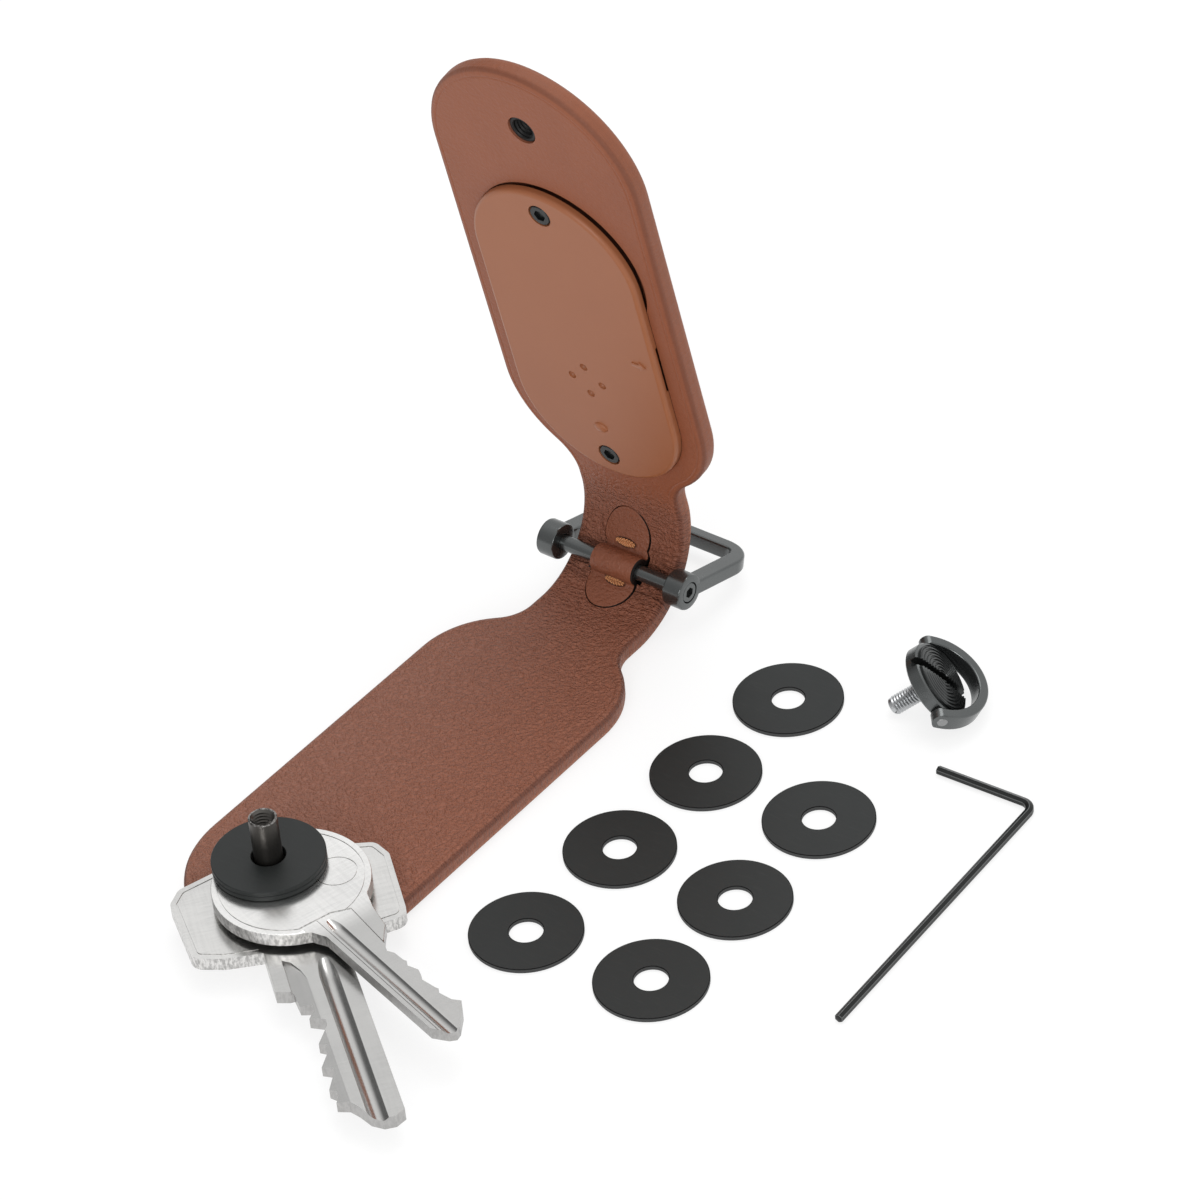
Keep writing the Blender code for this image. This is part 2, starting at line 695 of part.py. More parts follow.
# Shackle, in a frame on the pin's axis: +X along the pin, +Y out through the bow
def shackle(parent):
    half = shackle_half_width
    inner_corner = bow_inner_corner
    outer = rounded([(half, 0), (half, bow_reach), (-half, bow_reach), (-half, 0)],
                    [0, bow_corner, bow_corner, 0])
    inner = rounded([(-half + bow_arm, 0), (-half + bow_arm, bow_reach - bow_bar),
                     (half - bow_arm, bow_reach - bow_bar), (half - bow_arm, 0)],
                    [0, inner_corner, inner_corner, 0])
    bow = plate("shackle_bow", "gunmetal", parent, [outer + inner], -bow_height / 2, bow_height / 2,
                soften_low=bow_softness, soften_high=bow_softness, steps=1)
    along_pin = Matrix.Rotation(math.pi / 2, 4, "Y")
    for side, way in (("right", 1), ("left", -1)):
        low, high = sorted((way * half + way * seam, way * (half - eye_length)))
        eye = turned("shackle_eye_" + side, None, parent,
                     [(0, high), (eye_radius - bow_softness, high), (eye_radius, high - bow_softness),
                      (eye_radius, low + bow_softness), (eye_radius - bow_softness, low), (0, low)],
                     hidden=True, steps=28, move=along_pin)
        cut(bow, eye, "UNION")
    cut(bow, rod("shackle_bore", parent, pin_radius + seam, -half + eye_length / 3, half + overrun,
                 along_pin, 24))
    cut(bow, rod("shackle_head_seat", parent, pin_head_radius + seam, half - pin_head_depth - seam,
                 half + overrun, along_pin, 24))
    pin = turned("shackle_pin", "gunmetal", parent,
                 [(0, half), (pin_head_radius, half), (pin_head_radius, half - pin_head_depth),
                  (pin_radius, half - pin_head_depth), (pin_radius, -half + eye_length / 3 + seam),
                  (0, -half + eye_length / 3 + seam)], steps=24, move=along_pin)
    cut(pin, rod("pin_socket", parent, pin_socket, half - pin_socket_depth, half + overrun, along_pin, 6))


# Keys, in frames on the post's axis: +X along the blade
def key_cuts(start, end, level, depth, valleys, ridges):
    """Cut edge of a blade: valleys and ridges as shares of its length and of the deepest cut."""
    shares = sorted(valleys + ridges)
    return [(start + (end - start) * along, level + depth * deep) for along, deep in shares]


def lower_key(parent, low):
    bow_end = lower_key_bow_length
    half = lower_key_bow_half
    shift = lower_key_bow_shift
    tab_low = lower_key_blade_low - lower_key_tab_slit - lower_key_tab_width
    slit = lower_key_blade_low - lower_key_tab_slit
    tip = lower_key_tip
    top = lower_key_blade_high
    corner = lower_key_bow_corner
    inside = -lower_key_bow_top * 0.25
    spine = rounded([(tip, (slit + top) / 2 + corner / 2), (tip - corner / 3, top - corner / 3), (tip - corner, top),
                     (bow_end, top), (bow_end + corner / 3, half + shift), (inside, half + shift),
                     (inside - corner, half * 0.55 + shift), (-lower_key_bow_top, shift + corner),
                     (-lower_key_bow_top, shift - corner),
                     (inside - corner, -half * 0.5 + shift), (inside, -half + shift),
                     (bow_end - corner, -half + shift),
                     (bow_end, tab_low), (lower_key_tab_reach, tab_low), (lower_key_tab_reach, slit),
                     (bow_end + corner / 2, slit), (bow_end + corner / 2, lower_key_blade_low)],
                    [0, 0, 0, corner / 2, corner * 0.7, corner, corner, corner, corner, corner, corner,
                     corner, corner / 2, lower_key_tab_slit / 2, lower_key_tab_slit / 2, 0, 0], 4)
    teeth = key_cuts(lower_key_tooth_from, lower_key_tooth_to, lower_key_blade_low, lower_key_tooth_depth,
                     lower_key_tooth_shares, lower_key_ridge_shares)
    key = plate("key_lower", "nickel", parent, [spine + teeth, circle((0, 0), key_hole, 24)],
                low, low + key_thickness)
    groove = [(lower_key_groove_from, lower_key_groove_y - lower_key_groove / 2),
              (tip + overrun, lower_key_groove_y - lower_key_groove / 2),
              (tip + overrun, lower_key_groove_y + lower_key_groove / 2),
              (lower_key_groove_from, lower_key_groove_y + lower_key_groove / 2)]
    cut(key, plate("lower_key_groove_cut", None, parent, [groove], low + key_thickness - groove_depth,
                   low + key_thickness + overrun, hidden=True))


def upper_key(parent, low):
    radius = upper_key_bow_radius
    centre = (upper_key_bow_centre, 0)
    tip = upper_key_tip
    top = upper_key_blade_high
    deep = upper_key_blade_low
    high_join = math.asin((upper_key_shoulder_y + upper_key_tooth_depth * 2) / radius)
    low_join = math.asin((-deep + upper_key_tooth_depth) / radius)
    bow = arc(centre, radius, high_join, math.tau - low_join, 40)
    edge = [(upper_key_groove_from + upper_key_groove, deep), (tip - upper_key_groove * 1.5, deep),
            (tip, deep * 0.2), (tip - upper_key_groove, top * 0.4)]
    teeth = key_cuts(upper_key_tooth_from, upper_key_tooth_to, top, -upper_key_tooth_depth,
                     upper_key_tooth_shares, upper_key_ridge_shares)
    shoulder = [(upper_key_shoulder_x + upper_key_groove, top), (upper_key_shoulder_x, upper_key_shoulder_y)]
    outline = bow + edge + list(reversed(teeth)) + shoulder
    key = plate("key_upper", "nickel", parent, [outline, circle((0, 0), key_hole, 24)],
                low, low + key_thickness)
    groove = [(upper_key_groove_from, upper_key_groove_y - upper_key_groove / 2),
              (tip + overrun, upper_key_groove_y - upper_key_groove / 2),
              (tip + overrun, upper_key_groove_y + upper_key_groove / 2),
              (upper_key_groove_from, upper_key_groove_y + upper_key_groove / 2)]
    cut(key, plate("upper_key_groove_cut", None, parent, [groove], low + key_thickness - groove_depth,
                   low + key_thickness + overrun, hidden=True))


def washer(name, parent, low):
    high = low + washer_thickness
    soft = washer_edge
    return turned(name, "black_metal", parent,
                  [(washer_hole, high), (washer_radius - soft, high), (washer_radius, high - soft),
                   (washer_radius, low + soft), (washer_radius - soft, low), (washer_hole, low)])


def key_stack():
    """Lower key, washer, upper key and two washers, one on another over the lining."""
    level = strap_thickness + seam
    upright = Matrix.Identity(3)
    lower_key(frame("key_lower_axis", (0, 0, 0), Matrix.Rotation(lower_key_turn, 3, "Z")), level)
    level += key_thickness + seam
    washer("post_washer_lower", frame("post_washer_lower_axis", (0, 0, 0), upright), level)
    level += washer_thickness + seam
    upper_key(frame("key_upper_axis", (0, 0, 0), Matrix.Rotation(upper_key_turn, 3, "Z")), level)
    level += key_thickness + seam
    for name in ("post_washer_middle", "post_washer_top"):
        washer(name, frame(name + "_axis", (0, 0, 0), upright), level)
        level += washer_thickness + seam


def loose_washers():
    number = 0
    for x, lean, column in zip(loose_column_x, loose_column_lean_shares, loose_column_y):
        for y in column:
            number += 1
            spot = (x + lean * y, y, 0)
            washer("loose_washer_%d" % number, frame("loose_washer_%d_place" % number, spot,
                                                     Matrix.Identity(3)), 0)


# Closing screw, in a frame under its head: +Z out of the head, +X along the bail's pivots
def screw_turn():
    rise, heading, roll = screw_rise, screw_heading, screw_roll
    out = Vector((math.cos(rise) * math.cos(heading), math.cos(rise) * math.sin(heading), math.sin(rise)))
    level = Vector((-math.sin(heading), math.cos(heading), 0))
    pivot = level * math.cos(roll) + out.cross(level) * math.sin(roll)
    return Matrix((pivot, out.cross(pivot), out)).transposed()


def closing_screw():
    body = frame("closing_screw_frame", screw_place, screw_turn())
    dome_low = head_height
    profile = [(0, dome_low + dome_height)]
    rings = 5
    for i in range(1, rings + 1):
        share = i / rings
        profile.append((dome_radius * share, dome_low + dome_height * (1 - share ** 2 * 0.7)))
    profile += [(dome_radius, dome_low - dome_gap), (head_radius - dome_gap, dome_low - dome_gap),
                (head_radius, dome_low - dome_gap * 2), (head_radius, dome_gap), (head_radius - dome_gap, 0),
                (0, 0)]
    head = turned("closing_screw_head", "gunmetal", body, profile)
    long_way = head_radius + overrun
    slot = [(-slot_width / 2, -long_way), (slot_width / 2, -long_way),
            (slot_width / 2, long_way), (-slot_width / 2, long_way)]
    slot_top = dome_low + dome_height
    cut(head, plate("coin_slot", None, body, [slot], slot_top - slot_depth - dome_gap,
                    slot_top + overrun, hidden=True))
    sideways = Matrix.Translation((0, 0, bail_pivot_height)) @ Matrix.Rotation(math.pi / 2, 4, "Y")
    hole = bail_pin_radius + seam
    for side, way in (("near", 1), ("far", -1)):
        low, high = sorted((way * (head_radius - bail_pin_seat - seam), way * (head_radius + overrun)))
        cut(head, rod("pivot_hole_" + side, body, hole, low, high, sideways, 16))
    turned("closing_screw_stud", "steel", body,
           [(0, -seam), (stud_radius, -seam), (stud_radius, -stud_length + stud_chamfer),
            (stud_radius - stud_chamfer, -stud_length), (0, -stud_length)], steps=20)
    bail_axis = body.matrix_world @ Matrix.Translation((0, 0, bail_pivot_height)) @ Matrix.Rotation(
        bail_angle, 4, "X")
    bail = frame("bail_axis", bail_axis.translation, bail_axis.to_3x3(), body)
    bail_ring(bail)
    for side, way in (("near", 1), ("far", -1)):
        low, high = sorted((way * (head_radius - bail_pin_seat), way * bail_half_width))
        turned("bail_pivot_" + side, "steel", bail,
               [(0, high), (bail_pin_radius, high), (bail_pin_radius, low), (0, low)], steps=16,
               move=Matrix.Rotation(math.pi / 2, 4, "Y"))


def bail_ring(parent):
    """A D-shaped ring: half an oval outside and inside, with round ends about the pivots."""
    end = bail_height / 2
    steps = 18
    outer = [(bail_half_width * math.cos(math.pi * i / steps), bail_reach * math.sin(math.pi * i / steps))
             for i in range(steps + 1)]
    inside = bail_half_width - bail_bar
    reach = bail_reach - bail_bar
    inner = [(-inside * math.cos(math.pi * i / steps), reach * math.sin(math.pi * i / steps))
             for i in range(steps + 1)]
    outline = outer + [(-bail_half_width, -end), (-inside, -end)] + inner + [(inside, -end),
                                                                            (bail_half_width, -end)]
    ring = plate("bail", "gunmetal", parent, [outline], -bail_height / 2, bail_height / 2,
                 soften_low=bail_softness, soften_high=bail_softness, steps=1)
    cut(ring, rod("bail_bore", parent, bail_pin_radius + seam, -bail_half_width - overrun,
                  bail_half_width + overrun, Matrix.Rotation(math.pi / 2, 4, "Y"), 16))


def hex_key():
    """A six-sided rod bent square; its curve has six sides at this bevel resolution."""
    curve = bpy.data.curves.new("hex_key", "CURVE")
    curve.dimensions = "3D"
    curve.bevel_depth = hex_key_size / math.sqrt(3)
    curve.bevel_resolution = 1
    curve.use_fill_caps = True
    bend = arc((hex_key_bend, -hex_key_bend), hex_key_bend, math.pi / 2, math.pi, corner_steps)
    route = [(hex_key_long, 0)] + bend + [(0, -hex_key_short)]
    spline = curve.splines.new("POLY")
    spline.points.add(len(route) - 1)
    for point, (x, y) in zip(spline.points, route):
        point.co = (x, y, 0, 1)
    shape = mesh_of_curve(curve, "hex_key")
    lowest = min(vert.co.z for vert in shape.verts)
    bmesh.ops.translate(shape, verts=shape.verts, vec=(0, 0, -lowest))
    holder = frame("hex_key_place", hex_key_corner, Matrix.Rotation(hex_key_heading, 3, "Z"))
    place_object("hex_key", mesh_from(shape, "hex_key"), "black_metal", holder)


def turn_centre(first, second, angle):
    """The point about which first turns onto second by the angle, in the YZ plane."""
    half_way = (first + second) / 2
    step = second - first
    return half_way + Vector((-step.y, step.x)) / (2 * math.tan(angle / 2))


def turn_about(point, centre, angle):
    return centre + Matrix.Rotation(angle, 2) @ (point - centre)


def fold_axes():
    """The two fold axes: folded, the eyelet lies over the post and the neck makes a half circle."""
    fold = math.pi - bend_angle
    closed_height = post_top + closed_gap
    along = Vector((math.cos(bend_angle), math.sin(bend_angle)))
    inward = Vector((-math.sin(bend_angle), math.cos(bend_angle)))
    axis = Vector((post_to_bend, bend_radius))
    eyelet = axis - inward * (bend_radius - strap_thickness) + along * eyelet_to_bend
    whole = turn_centre(eyelet, Vector((0, closed_height)), fold)
    pin = pin_place()
    half_circle = (closed_height - strap_thickness) / 2
    pin_closed = Vector((post_to_bend + half_circle - pin_radius - pin_ease, strap_thickness + half_circle))
    lower = turn_centre(pin, pin_closed, fold / 2)
    target = turn_about(whole, lower, -fold / 2)
    upper = turn_centre(whole, target, fold / 2)
    return lower, upper


def pin_place():
    reach = bend_radius - strap_thickness - pin_radius - pin_ease
    return Vector((post_to_bend + reach * math.sin(pin_angle), bend_radius - reach * math.cos(pin_angle)))


def build():
    clear_scene()
    make_materials()
    lower_axis, upper_axis = fold_axes()
    lower_leaf(frame("lower_leaf_frame", (0, post_to_bend, 0), Matrix.Rotation(math.pi, 3, "Z")))
    fold_low = frame("neck_fold_lower_axis", (0, *lower_axis), Matrix.Identity(3))
    bend = frame("bend_frame", (0, post_to_bend, bend_radius), Matrix.Identity(3), fold_low)
    neck(bend)
    pin = frame("pin_frame", (0, *pin_place()), Matrix.Rotation(pin_angle, 3, "X"), fold_low)
    keeper(pin)
    droop = Matrix.Rotation(shackle_droop, 3, "X")
    shackle(frame("shackle_axis", (shackle_shift, *pin_place()), droop, fold_low))
    fold_high = frame("neck_fold_upper_axis", (0, *upper_axis), Matrix.Identity(3), fold_low)
    foot = (0, post_to_bend + bend_radius * math.sin(bend_angle), bend_radius * (1 - math.cos(bend_angle)))
    cover = frame("upper_leaf_frame", foot, Matrix.Rotation(bend_angle, 3, "X"), fold_high)
    upper_leaf(cover)
    tracker(cover)
    key_stack()
    loose_washers()
    closing_screw()
    hex_key()
    bpy.context.view_layer.update()


build()
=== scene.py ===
"""Leather key organizer standing open, with its keys, tracker, shackle and loose small parts.

Lengths are in millimetres until a piece is finished, which scales it to metres. A noise's scale is per metre.
The origin is the foot of the key post, +Y runs along the strap to its neck and +X along the shackle's pin.
"""
from math import asin, atan2, ceil, copysign, cos, hypot, pi, radians, sin, sqrt, tan, tau

import bmesh
import bpy
from mathutils import Matrix, Vector


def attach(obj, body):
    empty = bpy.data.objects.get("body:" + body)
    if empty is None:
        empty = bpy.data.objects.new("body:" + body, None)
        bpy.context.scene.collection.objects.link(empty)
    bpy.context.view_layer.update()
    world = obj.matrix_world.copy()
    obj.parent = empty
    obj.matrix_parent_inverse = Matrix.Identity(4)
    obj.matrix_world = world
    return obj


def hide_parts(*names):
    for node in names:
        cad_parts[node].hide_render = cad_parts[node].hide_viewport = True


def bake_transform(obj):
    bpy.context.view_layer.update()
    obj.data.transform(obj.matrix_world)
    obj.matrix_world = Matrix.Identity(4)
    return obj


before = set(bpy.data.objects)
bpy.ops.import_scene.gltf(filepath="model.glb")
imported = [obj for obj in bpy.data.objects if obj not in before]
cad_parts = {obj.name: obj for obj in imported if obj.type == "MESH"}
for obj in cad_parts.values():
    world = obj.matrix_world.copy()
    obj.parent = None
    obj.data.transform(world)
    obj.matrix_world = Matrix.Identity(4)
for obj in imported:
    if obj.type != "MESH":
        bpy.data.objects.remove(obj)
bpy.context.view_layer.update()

millimetre = 0.001
overrun = 3.0
weld_reach = 0.0005

# Strap
lower_half_width = 15.7
upper_half_width = 16.7
neck_half_width = 8.5
seam_height = 1.62
strap_top = 3.0
edge_softness = 0.9
lower_reach = 76.8
upper_reach = 78.2
post_from_bend = 67.0
eyelet_from_bend = 68.8
lower_shoulder = 2.2
upper_shoulder = 1.4
shoulder_in_share = 0.78
shoulder_out_share = 1.80
shoulder_slope = radians(50)
crease_inset = 0.1
crease_width = 0.16
crease_depth = 0.075
seat_gap = 0.03
post_gap = 0.1

# Bend of the neck
bend_radius = 14.0
bend_angle = radians(101.5)
pin_angle = radians(45.8)
bend_length = bend_radius * bend_angle
pin_along = bend_radius * pin_angle
bend_station = 0.75
lower_blend = (0.0, radians(34))
upper_blend = (radians(60), bend_angle)

# Keeper over the pin
pin_radius = 1.1
pin_rise = 1.25
keeper_radius = 3.7
keeper_disc_high = 4.0
keeper_disc_low = -2.6
keeper_side_shift = -0.35
keeper_strap_left = -3.2
keeper_strap_right = 3.75
keeper_strap_high = 2.3
keeper_strap_low = -1.7
keeper_neck_angle = radians(15)
keeper_gap = 0.2
keeper_gap_shift = 0.19
keeper_thickness = 0.82
keeper_ease = 0.06
keeper_fillet = 0.5
keeper_sink = 0.03
keeper_edge = 0.1
keeper_line_step = 0.45
tack_length = 3.2
tack_width = 1.0
tack_core_height = 0.1
strand_extra = 0.08
strand_half_sizes = (0.16, 0.22)
strand_rise = 0.12
tack_rise = 0.14
tack_places = (("upper", -0.3, 3.15), ("lower", 0.2, -2.35))

# Post and eyelet
post_radius = 1.9
post_top = 15.5
post_bore = 1.4
post_bore_depth = 8.5
post_pitch = 0.5
post_flange = 4.2
eyelet_radius = 2.12
eyelet_bore = 1.5
eyelet_sink = 0.25

# Washers
washer_radius = 7.5
washer_hole = 2.25
washer_thickness = 0.7
washer_edge = 0.1
post_washers = (("post_washer_lower", "washer_a", 5.0), ("post_washer_middle", "washer_b", 7.7),
                ("post_washer_top", "washer_c", 8.45))
loose_column_x = (30.5, 49.9)
loose_column_lean = (0.023, 0.0)
loose_column_y = ((13.3, 32.6, 50.9, 69.0), (14.6, 32.6, 51.1))

# Tracker
lid_centre = 32.1
lid_half_straight = 12.9
lid_radius = 13.3
lid_low = 3.03
lid_top = 4.2
lid_round = 0.65
lid_wall = 0.8
tray_radius = 12.2
tray_gap = 0.1
lid_gap = 0.05
lid_gap_shift = 0.62
lid_screw_offset = 22.55
lid_screw_head = 1.6
lid_screw_gap = 0.16
lid_screw_seat = 0.45
lid_screw_bore = 1.1
sound_holes = ((-2.5, 24.1), (2.5, 24.1), (0, 26.6), (0, 21.6))
sound_hole_radius = 0.34
dimple_radius = 0.62
dimple_rise = 0.04
notch_span = (26.8, 34.9)
notch_inset = 0.8
notch_height = 0.27
dot_place = (0, 15.0)
dot_half_sizes = (1.1, 0.85, 0.42)
arrow_place = (10.4, 31.4)
arrow_height = 0.22

# Shackle
shackle_half_width = 12.3
shackle_shift = 0.2
shackle_droop = radians(-15.6)
eye_radius = 2.6
eye_length = 2.9
bow_arm = 2.7
bow_bar = 2.1
bow_height = 2.1
bow_reach = 16.0
bow_corner = 5.0
bow_inner_corner = 1.6
bow_round = 0.35
pin_head = 1.45
pin_head_length = 0.75
pin_socket = 0.8

# Closing screw
screw_place = Vector((49.5, 77.4, 4.45))
screw_rise = radians(35.0)
screw_heading = radians(33.1)
screw_roll = radians(194.2)
head_radius = 5.45
head_height = 2.2
dome_radius = 4.9
dome_height = 0.3
dome_rings = 9
rib_depth = 0.16
rib_shares = ((0.35, 0), (0.6, 1), (0.9, 1), (1.0, 0))
slot_width = 1.3
slot_depth = 1.2
stud_radius = 1.32
stud_length = 6.15
stud_pitch = 0.44
bail_pivot_height = 1.0
bail_half_width = 7.0
bail_reach = 7.2
bail_bar = 1.4
bail_height = 2.8
bail_angle = radians(27.9)
bail_round = 0.3
bail_pin_radius = 0.8
bail_pin_depth = 0.9
bail_pin_proud = 0.05

# Hex key
wrench_corner = Vector((72.35, 67.95, 0.0))
wrench_long = 46.8
wrench_short = 14.8
wrench_size = 1.1
wrench_bend = 1.7
wrench_edge_bevel = 0.07
wrench_heading = radians(-87.7)

# Keys
key_low = 3.05
key_thickness = 1.9
upper_key_low = 5.75
lower_key_turn = radians(-37.4)
upper_key_turn = radians(-16.4)
key_hole = 2.3
key_edge = 0.1
key_line_depth = 0.1

# Looks of the leather, painted light and shade among them: where its bands begin and end along the strap,
# across it and up its edge
pin_wrinkle_and_shade_fade = (6.0, 18.0)
pin_crease_and_shade_fade = (2.0, 6.5)
edge_fade = (0.9, 1.46)
grain_fade = (bend_length - 3.0, bend_length + 6.0)
painted_sheen_fade = (-14.0, 13.0)
shaded_band = ((2.0, 2.5), (2.75, 2.92))
painted_highlight_band = ((0.1, 0.4), (0.7, 1.4))
window_heights = ((1.0, 1.2), (2.85, 2.96))
window_reach = (9.0, 9.5)
window_half_width = (4.5, 5.0)
tack_shade_shares = (1.2, 1.75)

# Studio
lamps = (("top_light", (-100.0, 300.0, 850.0), 500.0, 1.6),
         ("front_light", (400.0, -850.0, 450.0), 600.0, 4.2))
lamp_target = Vector((30.0, 50.0, 20.0))
floor_size = 3000.0
floor_drop = 0.03
floor_glow = 0.7
floor_white = 1.1

# Camera, found from the photograph
camera_place = Vector((374.65, -360.7, 449.9))
camera_forward = Vector((-0.5172, 0.5942, -0.616))
camera_up = Vector((-0.3238, 0.5304, 0.7834))
image_width = 1200
focal_pixels = 5289.8
camera_reach = (10.0, 20000.0)


# Shapes

def arc(centre, radius, start, end, steps):
    return [(centre[0] + radius * cos(start + (end - start) * i / steps),
             centre[1] + radius * sin(start + (end - start) * i / steps)) for i in range(steps + 1)]


def circle(centre, radius, steps=48):
    return arc(centre, radius, 0, tau * (steps - 1) / steps, steps - 1)


def stadium(radius, centre, half, steps=32):
    return (arc((0, centre + half), radius, 0, pi, steps)
            + arc((0, centre - half), radius, pi, tau, steps))


def corner_ways(corners):
    """Each corner of a polygon, with the ways back and ahead from it and half the angle between them."""
    for i, corner in enumerate(corners):
        here = Vector(corner)
        back = (Vector(corners[i - 1]) - here).normalized()
        ahead = (Vector(corners[(i + 1) % len(corners)]) - here).normalized()
        yield here, back, ahead, back.angle(ahead) / 2


def drawn_in(corners, inset):
    """The corners of a convex polygon moved inward from its sides."""
    return [tuple(here + (back + ahead).normalized() * (inset / sin(half)))
            for here, back, ahead, half in corner_ways(corners)]


def rounded(corners, radii, steps=6):
    """Round each corner of a polygon by its own radius."""
    points = []
    for (here, back, ahead, half), radius in zip(corner_ways(corners), radii):
        if radius == 0 or half > radians(88):
            points.append(tuple(here))
            continue
        centre = here + (back + ahead).normalized() * (radius / sin(half))
        first = here + back * (radius / tan(half)) - centre
        sweep = first.angle_signed(here + ahead * (radius / tan(half)) - centre)
        points += [tuple(centre + Matrix.Rotation(-sweep * step / steps, 2) @ first)
                   for step in range(steps + 1)]
    return points


def flat(outlines):
    """Faces that fill the first outline and leave the others open."""
    shape = bmesh.new()
    for outline in outlines:
        corners = [shape.verts.new((x, y, 0)) for x, y in outline]
        for first, second in zip(corners, corners[1:] + corners[:1]):
            shape.edges.new((first, second))
    if len(outlines) == 1:
        bmesh.ops.contextual_create(shape, geom=shape.edges)
    else:
        bmesh.ops.triangle_fill(shape, edges=shape.edges, use_beauty=True, normal=(0, 0, 1))
    return shape


def rim_edges(shape, height):
    slack = 0.01
    return [edge for edge in shape.edges if len(edge.link_faces) == 2
            and all(abs(vert.co.z - height) < slack for vert in edge.verts)
            and edge.calc_face_angle(0) > radians(45)]


def plate(outlines, low, high, soft_low=0.0, soft_high=0.0, segments=4):
    """A flat plate between two heights with rounded rims."""
    shape = flat(outlines)
    bmesh.ops.translate(shape, verts=shape.verts, vec=(0, 0, low))
    made = bmesh.ops.extrude_face_region(shape, geom=shape.faces[:])
    raised = [item for item in made["geom"] if isinstance(item, bmesh.types.BMVert)]
    bmesh.ops.translate(shape, verts=raised, vec=(0, 0, high - low))
    bmesh.ops.recalc_face_normals(shape, faces=shape.faces)
    for height, width in ((low, soft_low), (high, soft_high)):
        if width:
            bmesh.ops.bevel(shape, geom=rim_edges(shape, height), offset=width, offset_type="OFFSET",
                            affect="EDGES", segments=segments, profile=0.5, material=-1, clamp_overlap=True)
    return shape


def welded(shape):
    """The shape with its doubles merged and its faces outward."""
    bmesh.ops.remove_doubles(shape, verts=shape.verts, dist=weld_reach)
    bmesh.ops.recalc_face_normals(shape, faces=shape.faces)
    return shape


def turned(profile, steps=96):
    """A turned piece about Z from points (radius, height)."""
    shape = bmesh.new()
    corners = [shape.verts.new((radius, 0, height)) for radius, height in profile]
    edges = [shape.edges.new(pair) for pair in zip(corners, corners[1:])]
    if profile[0][0] > 0:
        edges.append(shape.edges.new((corners[-1], corners[0])))
    bmesh.ops.spin(shape, geom=corners + edges, cent=(0, 0, 0), axis=(0, 0, 1), angle=tau, steps=steps,
                   use_merge=True, use_duplicate=False)
    return welded(shape)


def ring(hole, radius, low, high, rim, steps):
    """A turned ring with its four rims broken."""
    return turned([(hole + rim, high), (radius - rim, high), (radius, high - rim), (radius, low + rim),
                   (radius - rim, low), (hole + rim, low), (hole, low + rim), (hole, high - rim)], steps)


def ball(place, around=24, up=12):
    """A unit ball, sized and set by its place."""
    shape = bmesh.new()
    bmesh.ops.create_uvsphere(shape, u_segments=around, v_segments=up, radius=1)
    shape.transform(place)
    return shape


def thread(radius, depth, pitch, low, turns, steps=28, inward=False):
    """A screw thread's ridge: one V turned upward along Z."""
    foot = radius + depth if inward else radius - depth
    shape = bmesh.new()
    corners = [shape.verts.new((foot, 0, low)), shape.verts.new((radius, 0, low + pitch / 2)),
               shape.verts.new((foot, 0, low + pitch))]
    edges = [shape.edges.new(pair) for pair in zip(corners, corners[1:])]
    bmesh.ops.spin(shape, geom=corners + edges, cent=(0, 0, 0), axis=(0, 0, 1), angle=tau * turns,
                   steps=steps * turns, dvec=(0, 0, pitch / steps), use_merge=False, use_duplicate=False)
    return welded(shape)


def as_mesh(shape, name):
    """The shape as a mesh; the shape itself is used up."""
    mesh = bpy.data.meshes.new(name)
    shape.to_mesh(mesh)
    shape.free()
    return mesh


def linked(name, data):
    item = bpy.data.objects.new(name, data)
    bpy.context.scene.collection.objects.link(item)
    return item


def joined(*shapes):
    """Several shapes as one, each left as it is."""
    whole = bmesh.new()
    for shape in shapes:
        mesh = as_mesh(shape, "joined")
        whole.from_mesh(mesh)
        bpy.data.meshes.remove(mesh)
    return whole


def carved(shape, *tools, operation="DIFFERENCE"):
    """The shape after one Boolean with each tool."""
    items = [linked("carving", as_mesh(each, "carving")) for each in (shape, *tools)]
    blank = items[0]
    for item in items[1:]:
        step = blank.modifiers.new("carving", "BOOLEAN")
        step.operation = operation
        step.solver = "EXACT"
        step.object = item
    bpy.context.view_layer.update()
    result = bpy.data.meshes.new_from_object(blank.evaluated_get(bpy.context.evaluated_depsgraph_get()))
    made = bmesh.new()
    made.from_mesh(result)
    bpy.data.meshes.remove(result)
    for item in items:
        mesh = item.data
        bpy.data.objects.remove(item, do_unlink=True)
        bpy.data.meshes.remove(mesh)
    bmesh.ops.remove_doubles(made, verts=made.verts, dist=weld_reach)
    return made


def cut_across(shape, y, **cleared):
    bmesh.ops.bisect_plane(shape, geom=shape.verts[:] + shape.edges[:] + shape.faces[:], dist=0.0001,
                           plane_co=(0, y, 0), plane_no=(0, 1, 0), **cleared)


def halved(shape, seam, upper, stations):
    """Keep one side of a seam across the shape and add lines to bend at; gives the record of flat places."""
    cut_across(shape, seam, clear_inner=upper, clear_outer=not upper)
    bmesh.ops.holes_fill(shape, edges=[edge for edge in shape.edges if edge.is_boundary])
    for station in stations:
        cut_across(shape, station)
    bmesh.ops.recalc_face_normals(shape, faces=shape.faces)
    return shape.verts.layers.float_vector.new("flat")


def edged(shape, steep=0.5):
    """Give the faces that stand upright the piece's second finish."""
    shape.normal_update()
    for face in shape.faces:
        if abs(face.normal.z) < steep:
            face.material_index = 1
    return shape


